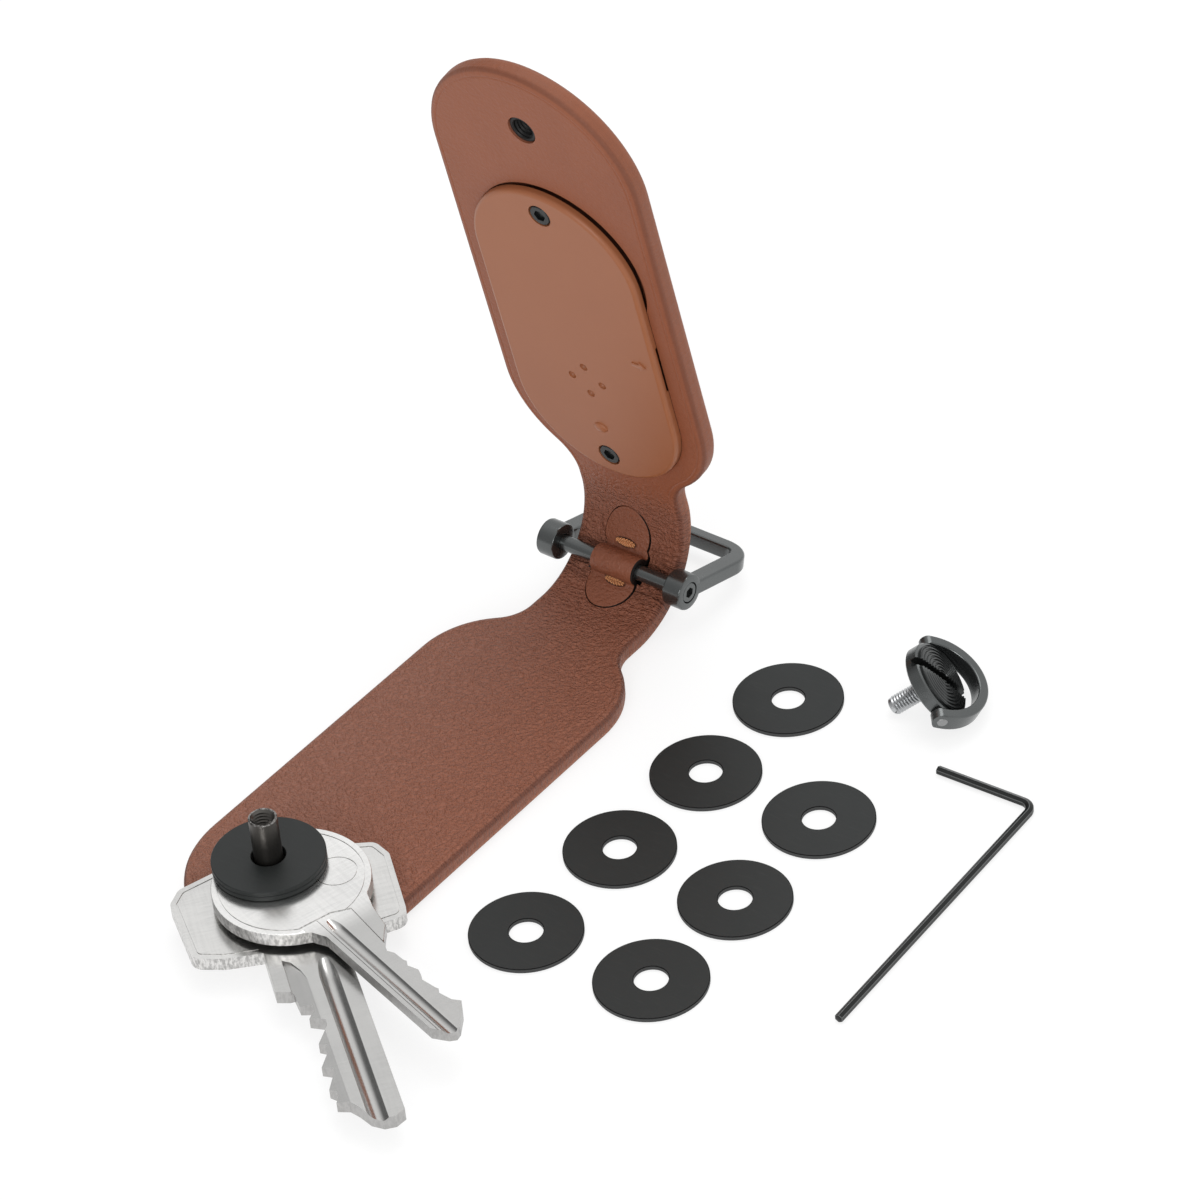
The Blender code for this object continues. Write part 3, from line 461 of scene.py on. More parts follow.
def finished(shape, name, body, finish, replaces=(), place=Matrix(), crisp=35, even=True):
    """Put a shape at its place as a piece of the scene, riding on its body; finish names one look or more."""
    shape.transform(Matrix.Scale(millimetre, 4) @ place)
    mesh = as_mesh(shape, name)
    for each in finish.split():
        mesh.materials.append(finishes[each])
    mesh.shade_smooth()
    mesh.set_sharp_from_angle(angle=radians(crisp))
    piece = linked(name, mesh)
    if even:
        normals = piece.modifiers.new("even_normals", "WEIGHTED_NORMAL")
        normals.keep_sharp = True
    if body:
        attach(piece, body)
    if replaces:
        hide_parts(*replaces)
    return piece


# Materials

leather_tones = ((0.325, 0.105, 0.052), (0.225, 0.069, 0.035), (0.215, 0.084, 0.054))
patch_tones = ((0.255, 0.080, 0.040), (0.185, 0.056, 0.029), (0.19, 0.074, 0.048))
painted_sheen_tone = (0.30, 0.17, 0.13)
warm_tone = (0.22, 0.052, 0.0)
shaded_tone = (0.12, 0.037, 0.02)
painted_highlight_tone = (0.47, 0.18, 0.10)
pin_crease_shade_tone = (0.06, 0.018, 0.01)
gap_and_tack_shade_tone = (0.006, 0.003, 0.002)
upper_nickel_tones = ((0.90, 0.895, 0.88), (0.70, 0.696, 0.688))
lower_nickel_tones = ((0.74, 0.735, 0.72), (0.55, 0.547, 0.54))
sheared_tones = ((0.76, 0.75, 0.735), (0.40, 0.395, 0.388))
milled_tone = (0.42, 0.418, 0.41)
# Where the grey of the blades and of their cuts begins, from the post
blade_start = (13.0, 18.0)
cuts_start = (16.0, 22.0)


class Value:
    """A node's output that can be used in sums."""

    def __init__(self, graph, socket):
        self.graph = graph
        self.socket = socket

    def sum(self, operation, first, second):
        return self.graph.node("ShaderNodeMath", {"operation": operation}, {0: first, 1: second})

    def __add__(self, other):
        return self.sum("ADD", self, other)

    def __sub__(self, other):
        return self.sum("SUBTRACT", self, other)

    def __rsub__(self, other):
        return self.sum("SUBTRACT", other, self)

    def __mul__(self, other):
        return self.sum("MULTIPLY", self, other)

    __radd__ = __add__
    __rmul__ = __mul__


class Graph:
    """A node tree being made; node() adds any node and gives back its first or named output."""

    def __init__(self, tree):
        self.tree = tree

    def give(self, socket, value):
        if isinstance(value, Value):
            self.tree.links.new(value.socket, socket)
        elif isinstance(value, (tuple, list)) and len(value) == 3 and socket.type == "RGBA":
            socket.default_value = (*value, 1.0)
        else:
            socket.default_value = value

    def node(self, kind, settings=None, sockets=None, output=0):
        made = self.tree.nodes.new(kind)
        for key, value in (settings or {}).items():
            setattr(made, key, value)
        for key, value in (sockets or {}).items():
            self.give(made.inputs[key], value)
        return Value(self, made.outputs[output])

    def place(self, output="Object"):
        return self.node("ShaderNodeTexCoord", output=output)

    def turned_place(self, angle):
        return self.node("ShaderNodeVectorRotate", {"rotation_type": "Z_AXIS"},
                         {"Vector": self.place(), "Angle": -angle})

    def absolute(self, value):
        return self.node("ShaderNodeMath", {"operation": "ABSOLUTE"}, {0: value})

    def apart(self, vector):
        outputs = self.node("ShaderNodeSeparateXYZ", None, {0: vector}).socket.node.outputs
        return [Value(self, outputs[i]) for i in range(3)]

    def scaled(self, vector, by):
        return self.node("ShaderNodeVectorMath", {"operation": "MULTIPLY"}, {0: vector, 1: by})

    def noise(self, vector, scale, detail=3.0, roughness=0.5, output="Fac"):
        return self.node("ShaderNodeTexNoise", None, {"Vector": vector, "Scale": scale, "Detail": detail,
                                                      "Roughness": roughness}, output)

    def stretched(self, vector, by, detail=3.0, roughness=0.6):
        return self.noise(self.scaled(vector, by), 1.0, detail, roughness)

    def swayed(self, vector, onto, scale, reach):
        """A vector moved by a coloured noise, by up to a reach in millimetres."""
        return self.node("ShaderNodeVectorMath", {"operation": "MULTIPLY_ADD"},
                         {0: self.noise(vector, scale, 2.0, output="Color"),
                          1: [part * millimetre for part in reach], 2: onto})

    def cells(self, vector, scale):
        return self.node("ShaderNodeTexVoronoi", None, {"Vector": vector, "Scale": scale}, "Distance")

    def ramp(self, value, low, high, to_low=0.0, to_high=1.0):
        return self.node("ShaderNodeMapRange", {"interpolation_type": "SMOOTHSTEP"},
                         {"Value": value, "From Min": low, "From Max": high, "To Min": to_low,
                          "To Max": to_high})

    def band(self, value, rise, fall):
        return self.ramp(value, *rise) * self.ramp(value, *fall, 1.0, 0.0)

    def mixed(self, share, first, second):
        made = self.tree.nodes.new("ShaderNodeMix")
        made.data_type = "RGBA"
        self.give(made.inputs["Factor"], share)
        for name, value in (("A", first), ("B", second)):
            self.give([item for item in made.inputs if item.name == name and item.type == "RGBA"][0], value)
        return Value(self, [item for item in made.outputs if item.type == "RGBA"][0])

    def bump(self, height, strength, distance):
        """Relief of a height, with its distance in millimetres."""
        return self.node("ShaderNodeBump", None, {"Height": height, "Strength": strength,
                                                  "Distance": distance * millimetre})


class Finish(Graph):
    """A material with one Principled shader."""

    def __init__(self, name, colour, roughness, metallic=0.0, **uniform):
        self.material = bpy.data.materials.new(name)
        self.material.use_nodes = True
        super().__init__(self.material.node_tree)
        self.shader = self.tree.nodes["Principled BSDF"]
        self.set(Base_Color=colour, Roughness=roughness, Metallic=metallic, **uniform)

    def set(self, **values):
        for key, value in values.items():
            self.give(self.shader.inputs[key.replace("_", " ")], value)
        return self.material


def keeper_gap_and_tack_shade(made, x, along, height, from_pin, tack_shade_share):
    """Painted shade where the keeper's window is cut in the strap, and round the tacks' stitches in the
    keeper.
    """
    cut = (made.band(height, *window_heights) * made.ramp(from_pin, *window_reach, 1.0, 0.0)
           * made.ramp(made.absolute(x), *window_half_width, 1.0, 0.0))
    for _, tack_x, tack_y in tack_places:
        middle = pin_along + tack_y * bend_radius / (bend_radius - strap_top)
        across = (x - tack_x) * (2 / tack_length / tack_shade_shares[0])
        beyond = (along - middle) * (2 / tack_width / tack_shade_shares[1])
        tack_shade = made.ramp(across * across + beyond * beyond, 0.6, 1.1, tack_shade_share, 0.0)
        cut = made.node("ShaderNodeMath", {"operation": "MAXIMUM"}, {0: cut, 1: tack_shade})
    return cut


def leather(name, light, dark, edge, wrinkled=1.0):
    """Pebbled leather, wrinkled beside the pin, that follows the places on the flat strap; painted shade near
    the pin, in its creases, in the keeper's window and round the tacks, painted shade and highlight bands on
    its edge and a painted sheen on the lower leaf.
    """
    made = Finish(name, light, 0.55, Specular_IOR_Level=0.36)
    noise, stretched, ramp, mixed = made.noise, made.stretched, made.ramp, made.mixed
    spot = made.node("ShaderNodeAttribute", {"attribute_name": "flat"}, output="Vector")
    x, along, height = [part * (1 / millimetre) for part in made.apart(spot)]
    from_pin = made.absolute(along - pin_along)
    pin_wrinkles_and_shade = ramp(from_pin, *pin_wrinkle_and_shade_fade, wrinkled, 0.0)
    pin_creases_and_shade = ramp(from_pin, *pin_crease_and_shade_fade, wrinkled, 0.0)
    side = ramp(made.absolute(height - strap_top / 2), *edge_fade, 1.0, 0.0)
    grained = ramp(along, *grain_fade, 1.0, 0.12) if wrinkled else 0.35
    swayed = made.swayed(spot, made.scaled(spot, (1.0, 1.0, 0.3)), 900.0, (0.3, 0.3, 0.3))
    pulled = made.swayed(spot, swayed, 240.0, (0.0, 2.2, 0.0))
    pebbles = ramp(made.cells(swayed, 1350.0), 0.05, 0.75, 1.0, 0.0)
    small_pebbles = ramp(made.cells(swayed, 2900.0), 0.1, 0.8, 1.0, 0.0)
    long_folds = ramp(stretched(pulled, (130.0, 1350.0, 60.0)), 0.36, 0.56)
    short_folds = ramp(stretched(pulled, (700.0, 2500.0, 60.0), 2.0), 0.35, 0.6)
    wrinkles = long_folds * 0.65 + short_folds * 0.35
    blotch = noise(spot, 110.0, 4.0, 0.6)
    lane = stretched(spot, (160.0, 40.0, 40.0), 2.0, 0.5)
    fine = noise(spot, 1500.0, 3.0, 0.6)
    streaks = stretched(spot, (90.0, 90.0, 2600.0), 4.0, 0.65)
    speckle = noise(spot, 700.0, 4.0, 0.7)
    tone = mixed(blotch * 0.45 + lane * 0.3 + fine * 0.3 - 0.02, dark, light)
    tone = mixed(ramp(pebbles, 0.0, 0.5, 0.5, 0.0) * grained, tone, dark)
    tone = mixed(side * ramp(streaks * 0.6 + speckle * 0.5, 0.35, 0.75, 0.1, 0.55), tone, edge)
    # painted sheen: the lower leaf is paled, more on its left than on its right
    tone = mixed(grained * ramp(x, *painted_sheen_fade, 0.33, 0.16), tone, painted_sheen_tone)
    tone = mixed((1 - grained) * 0.2, tone, warm_tone)
    tone = mixed(made.band(height, *shaded_band) * (0.42 + grained * 0.28), tone, shaded_tone)
    # painted highlight on the lower rim of the edge, strongest on the lower leaf
    tone = mixed(made.band(height, *painted_highlight_band) * (0.05 + grained * 0.45), tone, painted_highlight_tone)
    # painted shadow of the pin: the neck darkens towards the pin, less on the wrinkles' ridges
    tone = mixed(pin_wrinkles_and_shade * (0.68 - wrinkles * 0.32), tone, dark)
    # painted shade in the creases beside the pin, darkest in the wrinkles' valleys
    tone = mixed(pin_creases_and_shade * (0.95 - wrinkles) * 0.68, tone, pin_crease_shade_tone)
    # painted shade in the keeper's window and round the tacks
    tone = mixed(keeper_gap_and_tack_shade(made, x, along, height, from_pin, 0.75 * (1 - wrinkled)), tone, gap_and_tack_shade_tone)
    relief = ((pebbles * 0.85 + small_pebbles * 0.7) * grained + pin_wrinkles_and_shade * wrinkles * 0.7
              + pin_creases_and_shade * wrinkles * 0.8 + side * (streaks + speckle) * 0.7)
    return made.set(Base_Color=tone, Roughness=0.44 + fine * 0.12 + side * 0.05,
                    Normal=made.bump(relief, 0.9, 0.24))


def plastic(name, light, dark):
    made = Finish(name, light, 0.5, Specular_IOR_Level=0.33)
    spot = made.place()
    fine = made.noise(spot, 5200.0, 2.0)
    return made.set(Base_Color=made.mixed(made.noise(spot, 90.0), dark, light), Roughness=0.34 + fine * 0.08,
                    Normal=made.bump(fine, 0.12, 0.03))


def black_coating(name, colour, worn, roughness=0.42, shine=0.5):
    made = Finish(name, colour, roughness, Specular_IOR_Level=shine)
    spot = made.place()
    fine = made.noise(spot, 6000.0, 3.0, 0.6)
    scuffs = made.ramp(made.stretched(spot, (400.0, 2600.0, 400.0), 3.0, 0.5), 0.5, 0.9, 0.0, 0.5)
    return made.set(Base_Color=made.mixed(scuffs, colour, worn),
                    Roughness=roughness - 0.06 + made.noise(spot, 220.0) * 0.08 + fine * 0.08,
                    Normal=made.bump(fine, 0.12, 0.02))


def blasted_metal(name, colour, roughness, metallic=0.9, grain=0.2):
    made = Finish(name, colour, roughness, metallic)
    spot = made.place()
    blotch = made.noise(spot, 160.0)
    fine = made.noise(spot, 5200.0, 3.0, 0.6)
    darker = tuple(value * 0.8 for value in colour)
    return made.set(Base_Color=made.mixed(blotch, darker, colour),
                    Roughness=roughness - 0.05 + blotch * 0.06 + fine * 0.08,
                    Normal=made.bump(fine, grain, 0.02))


def plated_metal(name, colour, shade, roughness, turn=0.0, blade_share=0.0):
    """Bright plating with faint lines, greyer along a key's blade."""
    made = Finish(name, colour, roughness, 1.0)
    spot = made.turned_place(turn)
    across = made.stretched(spot, (3200.0, 240.0, 240.0))
    along = made.stretched(spot, (150.0, 2400.0, 800.0))
    lines = across * 0.55 + along * 0.45
    plated = made.mixed(made.ramp(made.noise(spot, 110.0) * 0.45 + lines * 0.55, 0.2, 0.66), shade, colour)
    blade = made.ramp(made.apart(spot)[0] * (1 / millimetre), *blade_start, 0.0, blade_share)
    return made.set(Base_Color=made.mixed(blade, plated, milled_tone),
                    Roughness=roughness - 0.06 + lines * 0.12, Normal=made.bump(lines, 0.1, 0.02))


def sheared_metal(name, colour, shade, roughness, turn=0.0):
    """The speckled edge that a punch leaves, darker where a key's cuts were milled."""
    made = Finish(name, colour, roughness, 1.0)
    spot = made.turned_place(turn)
    blade = made.ramp(made.apart(spot)[0] * (1 / millimetre), *cuts_start, 1.0, 0.2)
    torn = made.stretched(spot, (2600.0, 2600.0, 1100.0), 4.0, 0.65)
    return made.set(Base_Color=made.mixed(made.ramp(torn, 0.36, 0.62) * blade, shade, colour),
                    Roughness=roughness - 0.05 + torn * 0.1, Normal=made.bump(torn, 0.6, 0.08))


def twisted_thread(name, colour, shade):
    made = Finish(name, colour, 0.75)
    strands = made.node("ShaderNodeTexWave", {"wave_type": "BANDS", "bands_direction": "DIAGONAL"},
                        {"Vector": made.place(), "Scale": 1500.0, "Distortion": 2.0, "Detail": 2.0}, "Fac")
    return made.set(Base_Color=made.mixed(made.ramp(strands, 0.2, 0.7), shade, colour),
                    Normal=made.bump(strands, 0.5, 0.08))


def board_finish(name, colour, shade):
    made = Finish(name, colour, 0.8)
    fibres = made.stretched(made.place(), (1500.0, 400.0, 1500.0), 4.0)
    return made.set(Base_Color=made.mixed(fibres, shade, colour), Normal=made.bump(fibres, 0.2, 0.05))


# Each look's maker, and the looks that it makes by name
finish_tables = (
    (leather, {
        "brown_leather_grain": leather_tones,
        "brown_leather_patch": (*patch_tones, 0.0),
    }),
    (plastic, {
        "brown_cover": ((0.335, 0.12, 0.052), (0.312, 0.108, 0.046)),
        # the tray is coloured near black as painted shade, seen in the gap beside the lid and in the sound
        # holes
        "dark_brown_tray": ((0.05, 0.021, 0.013), (0.042, 0.017, 0.011)),
        "green_circuit": ((0.03, 0.16, 0.07), (0.02, 0.12, 0.05)),
    }),
    (black_coating, {
        "black_coating": ((0.0075, 0.0098, 0.0095), (0.018, 0.021, 0.0205), 0.48, 0.42),
        # the loose washers' rim coat is painted shade and their wall coat painted light
        "black_coating_rim": ((0.003, 0.003, 0.003), (0.004, 0.004, 0.004), 0.6, 0.15),
        "black_coating_side": ((0.024, 0.025, 0.025), (0.032, 0.033, 0.033), 0.55, 0.6),
        "tool_black": ((0.008, 0.009, 0.009), (0.014, 0.015, 0.015), 0.25, 0.3),
        "dark_eyelet": ((0.005, 0.005, 0.005), (0.008, 0.008, 0.008), 0.42, 0.25),
        "soft_rubber": ((0.02, 0.02, 0.02), (0.03, 0.03, 0.03), 0.7),
    }),
    (blasted_metal, {
        "dark_post_steel": ((0.115, 0.108, 0.10), 0.30, 0.95, 0.3),
        "gunmetal_blasted": ((0.134, 0.141, 0.141), 0.23),
        "gunmetal_dome": ((0.062, 0.065, 0.065), 0.28),
        "rivet_steel": ((0.33, 0.335, 0.335), 0.4),
        "tool_worn_edge": ((0.16, 0.165, 0.165), 0.3),
    }),
    (plated_metal, {
        "nickel_lower_key": (*lower_nickel_tones, 0.22, lower_key_turn, 0.56),
        "nickel_upper_key": (*upper_nickel_tones, 0.22, upper_key_turn, 0.75),
        "bright_steel": ((0.52, 0.53, 0.54), (0.42, 0.43, 0.44), 0.30),
        "turned_brass": ((0.72, 0.5, 0.2), (0.6, 0.4, 0.15), 0.3),
    }),
    (sheared_metal, {
        "lower_key_sheared": (*sheared_tones, 0.34, lower_key_turn),
        "upper_key_sheared": (*sheared_tones, 0.34, upper_key_turn),
        "worn_steel": ((0.30, 0.29, 0.28), (0.07, 0.066, 0.062), 0.36),
    }),
    (twisted_thread, {"tan_twist": ((0.76, 0.35, 0.15), (0.36, 0.14, 0.055))}),
    (board_finish, {"grey_board": ((0.32, 0.27, 0.2), (0.24, 0.2, 0.15))}),
)
finishes = {name: make(name, *values) for make, table in finish_tables for name, values in table.items()}


# Places

def bent(x, along, height):
    """A point of the flat strap, carried round the bend: along is 0 where the bend starts."""
    if along < 0:
        return Vector((x, post_from_bend + along, height))
    turn = min(along / bend_radius, bend_angle)
    reach = bend_radius - height
    place = Vector((x, post_from_bend + reach * sin(turn), bend_radius - reach * cos(turn)))
    past = along - bend_length
    if past > 0:
        place += Vector((0, cos(bend_angle), sin(bend_angle))) * past
    return place


def upper_place():
    return Matrix.Translation(bent(0, bend_length, 0)) @ Matrix.Rotation(bend_angle, 4, "X")


def pin_frame():
    reach = bend_radius - strap_top - pin_rise
    across, up = reach * sin(pin_angle), reach * cos(pin_angle)
    spot = Vector((0, post_from_bend + across, bend_radius - up))
    return Matrix.Translation(spot) @ Matrix.Rotation(pin_angle, 4, "X")


def shackle_place():
    spot = pin_frame().translation + Vector((shackle_shift, 0, 0))
    return Matrix.Translation(spot) @ Matrix.Rotation(shackle_droop, 4, "X")


def screw_frame():
    level = Vector((-sin(screw_heading), cos(screw_heading), 0))
    ahead = Vector((cos(screw_heading), sin(screw_heading), 0))
    out = ahead * cos(screw_rise) + Vector((0, 0, sin(screw_rise)))
    pivot = level * cos(screw_roll) + out.cross(level) * sin(screw_roll)
    return Matrix.Translation(screw_place) @ Matrix((pivot, out.cross(pivot), out)).transposed().to_4x4()


def bail_frame():
    pivot = Matrix.Translation((0, 0, bail_pivot_height))
    return screw_frame() @ pivot @ Matrix.Rotation(bail_angle, 4, "X")


along_x = Matrix.Rotation(pi / 2, 4, "Y")


# Strap

def leaf_side(length, half_width, start):
    """The +X side of a leaf from its neck to its tip."""
    step = half_width - neck_half_width
    inner, outer, slope = step * shoulder_in_share, step * shoulder_out_share, shoulder_slope
    leap = (step - (inner + outer) * (1 - cos(slope))) / sin(slope)
    rise = start + (inner + outer) * sin(slope) + leap * cos(slope)
    return (arc((neck_half_width + inner, start), inner, pi, pi - slope, 10)
            + arc((half_width - outer, rise), outer, -slope, 0, 12)
            + arc((0, length - half_width), half_width, 0, pi / 2, 30))


def strap_outline():
    lower = leaf_side(lower_reach, lower_half_width, lower_shoulder)
    upper = leaf_side(upper_reach, upper_half_width, upper_shoulder)
    right = [(x, -along) for x, along in lower[::-1]] + [(x, bend_length + along) for x, along in upper]
    return right + [(-x, along) for x, along in reversed(right[1:-1])]


def keeper_outline(grow=0.0, shift=0.0, steps=24):
    """The keeper's outline seen along the pin frame's Z."""
    side, radius, turn = keeper_side_shift + shift, keeper_radius + grow, keeper_neck_angle
    left, right = keeper_strap_left - grow + shift, keeper_strap_right + grow + shift
    return (arc((side, keeper_disc_high), radius, -turn, pi + turn, steps)
            + [(left, keeper_strap_high), (left, keeper_strap_low)]
            + arc((side, keeper_disc_low), radius, pi - turn, tau + turn, steps)
            + [(right, keeper_strap_low), (right, keeper_strap_high)])


def on_strap(outline):
    """An outline of the pin's frame laid on the flat strap."""
    inside = bend_radius - strap_top
    return [(x, pin_along + bend_radius * asin(y / inside)) for x, y in outline]


def creased(shape, height):
    """A pressed crease just inside the rim of the top face."""
    reach = crease_depth * 1.5
    for thickness, depth in ((crease_inset, 0), (crease_width, -crease_depth), (crease_width, crease_depth),
                             (crease_width, 0)):
        top = [face for face in shape.faces if face.normal.z > 0.99 and len(face.verts) > 8
               and abs(face.calc_center_median().z - height) < reach]
        bmesh.ops.inset_region(shape, faces=top, thickness=thickness, depth=depth, use_even_offset=True,
                               use_boundary=True)
    return shape


def pierced(shape, *holes):
    return carved(shape, *[plate([hole], -overrun, strap_top + overrun) for hole in holes])


def eyelet_seat():
    return circle((0, bend_length + eyelet_from_bend), eyelet_radius + seat_gap)


def lining():
    shape = creased(plate([strap_outline()], seam_height, strap_top, soft_high=edge_softness), strap_top)
    centre = bend_length + lid_centre
    window = stadium(lid_radius + lid_gap, centre, lid_half_straight, 48)
    shadow_gap = circle((lid_gap_shift, centre + lid_half_straight + lid_gap_shift), lid_radius + lid_gap, 96)
    keeper = on_strap(keeper_outline(keeper_gap, keeper_gap_shift))
    return pierced(shape, keeper, window, shadow_gap, eyelet_seat(),
                   circle((0, -post_from_bend), post_radius + post_gap))


def outer_leather():
    return pierced(plate([strap_outline()], 0, seam_height, soft_low=edge_softness), eyelet_seat())


def strap_half(whole, name, upper, replaces):
    """Cut the flat strap at the pin and bend one half."""
    shape = whole.copy()
    stations = [bend_station * i for i in range(1, ceil(bend_length / bend_station + 1))]
    record = halved(shape, pin_along, upper, [min(station, bend_length) for station in stations
                                              if abs(station - pin_along) > bend_station / 3])
    for vert in shape.verts:
        vert[record] = vert.co * millimetre
        vert.co = bent(*vert.co)
    piece = finished(shape, name, None, "brown_leather_grain", replaces, even=False,
                     crisp=50)
    follow_fold(piece, upper)


def follow_fold(piece, upper):
    first, last = upper_blend if upper else lower_blend
    start, end = (bent(0, bend_radius * turn, strap_top / 2) * millimetre for turn in (first, last))
    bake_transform(piece)


def make_strap():
    for part, whole in (("lining", lining()), ("outer_leather", outer_leather())):
        for side in ("lower", "upper"):
            strap_half(whole, "%s_%s_bent" % (side, part), side == "upper",
                       ("%s_%s" % (side, part), "neck_%s_%s" % (side, part)))
        whole.free()


# Keeper

def keeper_face(y):
    """A point and the outward way of the keeper's disc, just under the lining's face, in the pin's frame."""
    centre = Vector((0, bend_radius - strap_top - pin_rise))
    reach = bend_radius - strap_top + keeper_sink
    spot = Vector((y, centre.y - sqrt(reach ** 2 - y ** 2)))
    return spot, (centre - spot).normalized()


def keeper_arch():
    """The keeper's outer line from its foot over the pin, as points and outward ways: fillet, then round."""
    centre = Vector((0, bend_radius - strap_top - pin_rise))
    reach = bend_radius - strap_top + keeper_sink
    round_radius = pin_radius + keeper_ease + keeper_thickness
    near, far = round_radius + keeper_fillet, reach - keeper_fillet
    rise = (near ** 2 - far ** 2 + centre.y ** 2) / (2 * centre.y)
    hub = Vector((sqrt(near ** 2 - rise ** 2), rise))
    down = atan2(hub.y - centre.y, hub.x)
    inward = atan2(-hub.y, -hub.x) % tau
    fillet = arc(hub, keeper_fillet, down % tau, inward, 10)
    over = arc((0, 0), round_radius, atan2(hub.y, hub.x), pi / 2, 24)
    return ([(Vector(spot), (hub - Vector(spot)).normalized()) for spot in fillet]
            + [(Vector(spot), Vector(spot).normalized()) for spot in over[1:]])


def keeper_spot(y, arch):
    """Where the flat keeper's line y goes: along the arch near the pin, along the disc further out."""
    foot = arch[0][0].x
    if abs(y) >= foot:
        spot, way = keeper_face(abs(y))
    else:
        lengths = [0.0]
        for (first, _), (second, _) in zip(arch, arch[1:]):
            lengths.append(lengths[-1] + (second - first).length)
        wanted = (1 - abs(y) / foot) * lengths[-1]
        slack = 0.001
        i = max(1, next(i for i, length in enumerate(lengths) if length >= wanted - slack))
        share = (wanted - lengths[i - 1]) / (lengths[i] - lengths[i - 1])
        spot = arch[i - 1][0].lerp(arch[i][0], share)
        way = arch[i - 1][1].lerp(arch[i][1], share).normalized()
    if y < 0:
        spot.x, way.x = -spot.x, -way.x
    return spot, way


def keeper_half(side, upper):
    shape = plate([keeper_outline()], -keeper_thickness, 0, soft_high=keeper_edge, segments=2)
    arch = keeper_arch()
    foot = arch[0][0].x
    way = 1 if upper else -1
    lines = [foot * i / 30 for i in range(1, 31)] + [foot + keeper_line_step * i for i in range(1, 13)]
    record = halved(shape, 0, upper, [way * line for line in lines])
    flat_share = bend_radius / (bend_radius - strap_top)
    for vert in shape.verts:
        x, y, z = vert.co
        vert[record] = Vector((x, pin_along + y * flat_share, strap_top + z)) * millimetre
        spot, lean = keeper_spot(y, arch)
        vert.co = (x, spot.x + lean.x * z, spot.y + lean.y * z)
    piece = finished(shape, "keeper_%s_half" % side, None, "brown_leather_patch",
                     ("keeper_patch",) if upper else (), place=pin_frame(), even=False, crisp=50)
    follow_fold(piece, upper)


def tack(side, x, y):
    """A bar tack: short strands laid in chevrons along a lens."""
    count, slant, lean = 7, radians(40), copysign(0.35, y)
    core_share, taper_share = 0.42, 0.75
    strands = [ball(Matrix.Diagonal((tack_length / 2, tack_width * core_share, tack_core_height, 1)))]
    for i in range(count):
        place = (i + 0.5) / count * 2 - 1
        width = tack_width * (1 - place ** 2 * taper_share)
        reach = width / 4 / sin(slant) + strand_extra
        for way in (1, -1):
            strands.append(ball(Matrix.Translation((place * tack_length / 2, way * width / 4, strand_rise))
                                @ Matrix.Rotation(slant * way, 4, "Z")
                                @ Matrix.Diagonal((reach, *strand_half_sizes, 1)), 10, 8))
    spot, _ = keeper_face(abs(y))
    place = pin_frame() @ Matrix.Translation((x, y, spot.y + tack_rise)) @ Matrix.Rotation(lean, 4, "X")
    finished(joined(*strands), "keeper_stitches_" + side, "neck", "tan_twist",
             ("keeper_tack_" + side,), place=place, even=False)


def make_keeper():
    keeper_half("upper", True)
    keeper_half("lower", False)
    for side, x, y in tack_places:
        tack(side, x, y)


# Post, washers and eyelet

def make_post():
    rim, lead, bite, depth, plain_end = 0.12, 0.1, 0.2, 0.34, 1.0
    bore = post_bore + lead
    low = post_top - post_bore_depth
    tube = turned([(0, low), (bore, low), (bore, post_top - rim), (bore + rim, post_top),
                   (post_radius - rim, post_top), (post_radius, post_top - rim), (post_radius, seam_height),
                   (post_flange, seam_height), (post_flange, seam_height / 2), (0, seam_height / 2)], 64)
    turns = int((post_bore_depth - plain_end) / post_pitch)
    ridge = thread(post_bore - bite, depth, post_pitch, post_top - rim - turns * post_pitch - lead, turns,
                   inward=True)
    for face in tube.faces:
        if face.calc_center_median().z > post_top - rim:
            face.material_index = 1
    finished(joined(tube, ridge), "key_post_threaded", "lower_leaf", "dark_post_steel worn_steel",
             ("key_post",))


def washer(name, body, x, y, low, stacked=False):
    """A washer; a loose one has its walls painted paler as painted light and its upper rim painted darker as
    painted shade.
    """
    shape = ring(washer_hole, washer_radius, low, low + washer_thickness, washer_edge, 96)
    shape.normal_update()
    for face in shape.faces:
        tilt = face.normal.z
        # loose washers: walls take the paler coat as painted light, the upper rim the darker one as painted
        # shade
        face.material_index = 0 if stacked or abs(tilt) > 0.9 else 2 if tilt > 0.1 else 1
    coats = "black_coating" if stacked else "black_coating black_coating_side black_coating_rim"
    finished(shape, name + "_turned", body, coats, (name,),
             place=Matrix.Translation((x, y, 0)))


def make_washers():
    for name, body, low in post_washers:
        washer(name, body, 0, 0, low, True)
    number = 0
    for x, lean, column in zip(loose_column_x, loose_column_lean, loose_column_y):
        for y in column:
            number += 1
            washer("loose_washer_%d" % number, "spare_washer_%d" % number, x + lean * y, y, 0)


def make_eyelet():
    rim, bite, depth = 0.15, 0.2, 0.28
    top = strap_top - eyelet_sink
    tube = ring(eyelet_bore, eyelet_radius, 0, top, rim, 64)
    ridge = thread(eyelet_bore - bite, depth, post_pitch, rim, int((top - rim * 3) / post_pitch), inward=True)
    finished(joined(tube, ridge), "eyelet_rolled", "upper_leaf", "dark_eyelet", ("eyelet",),
             place=upper_place() @ Matrix.Translation((0, eyelet_from_bend, 0)))


# Tracker

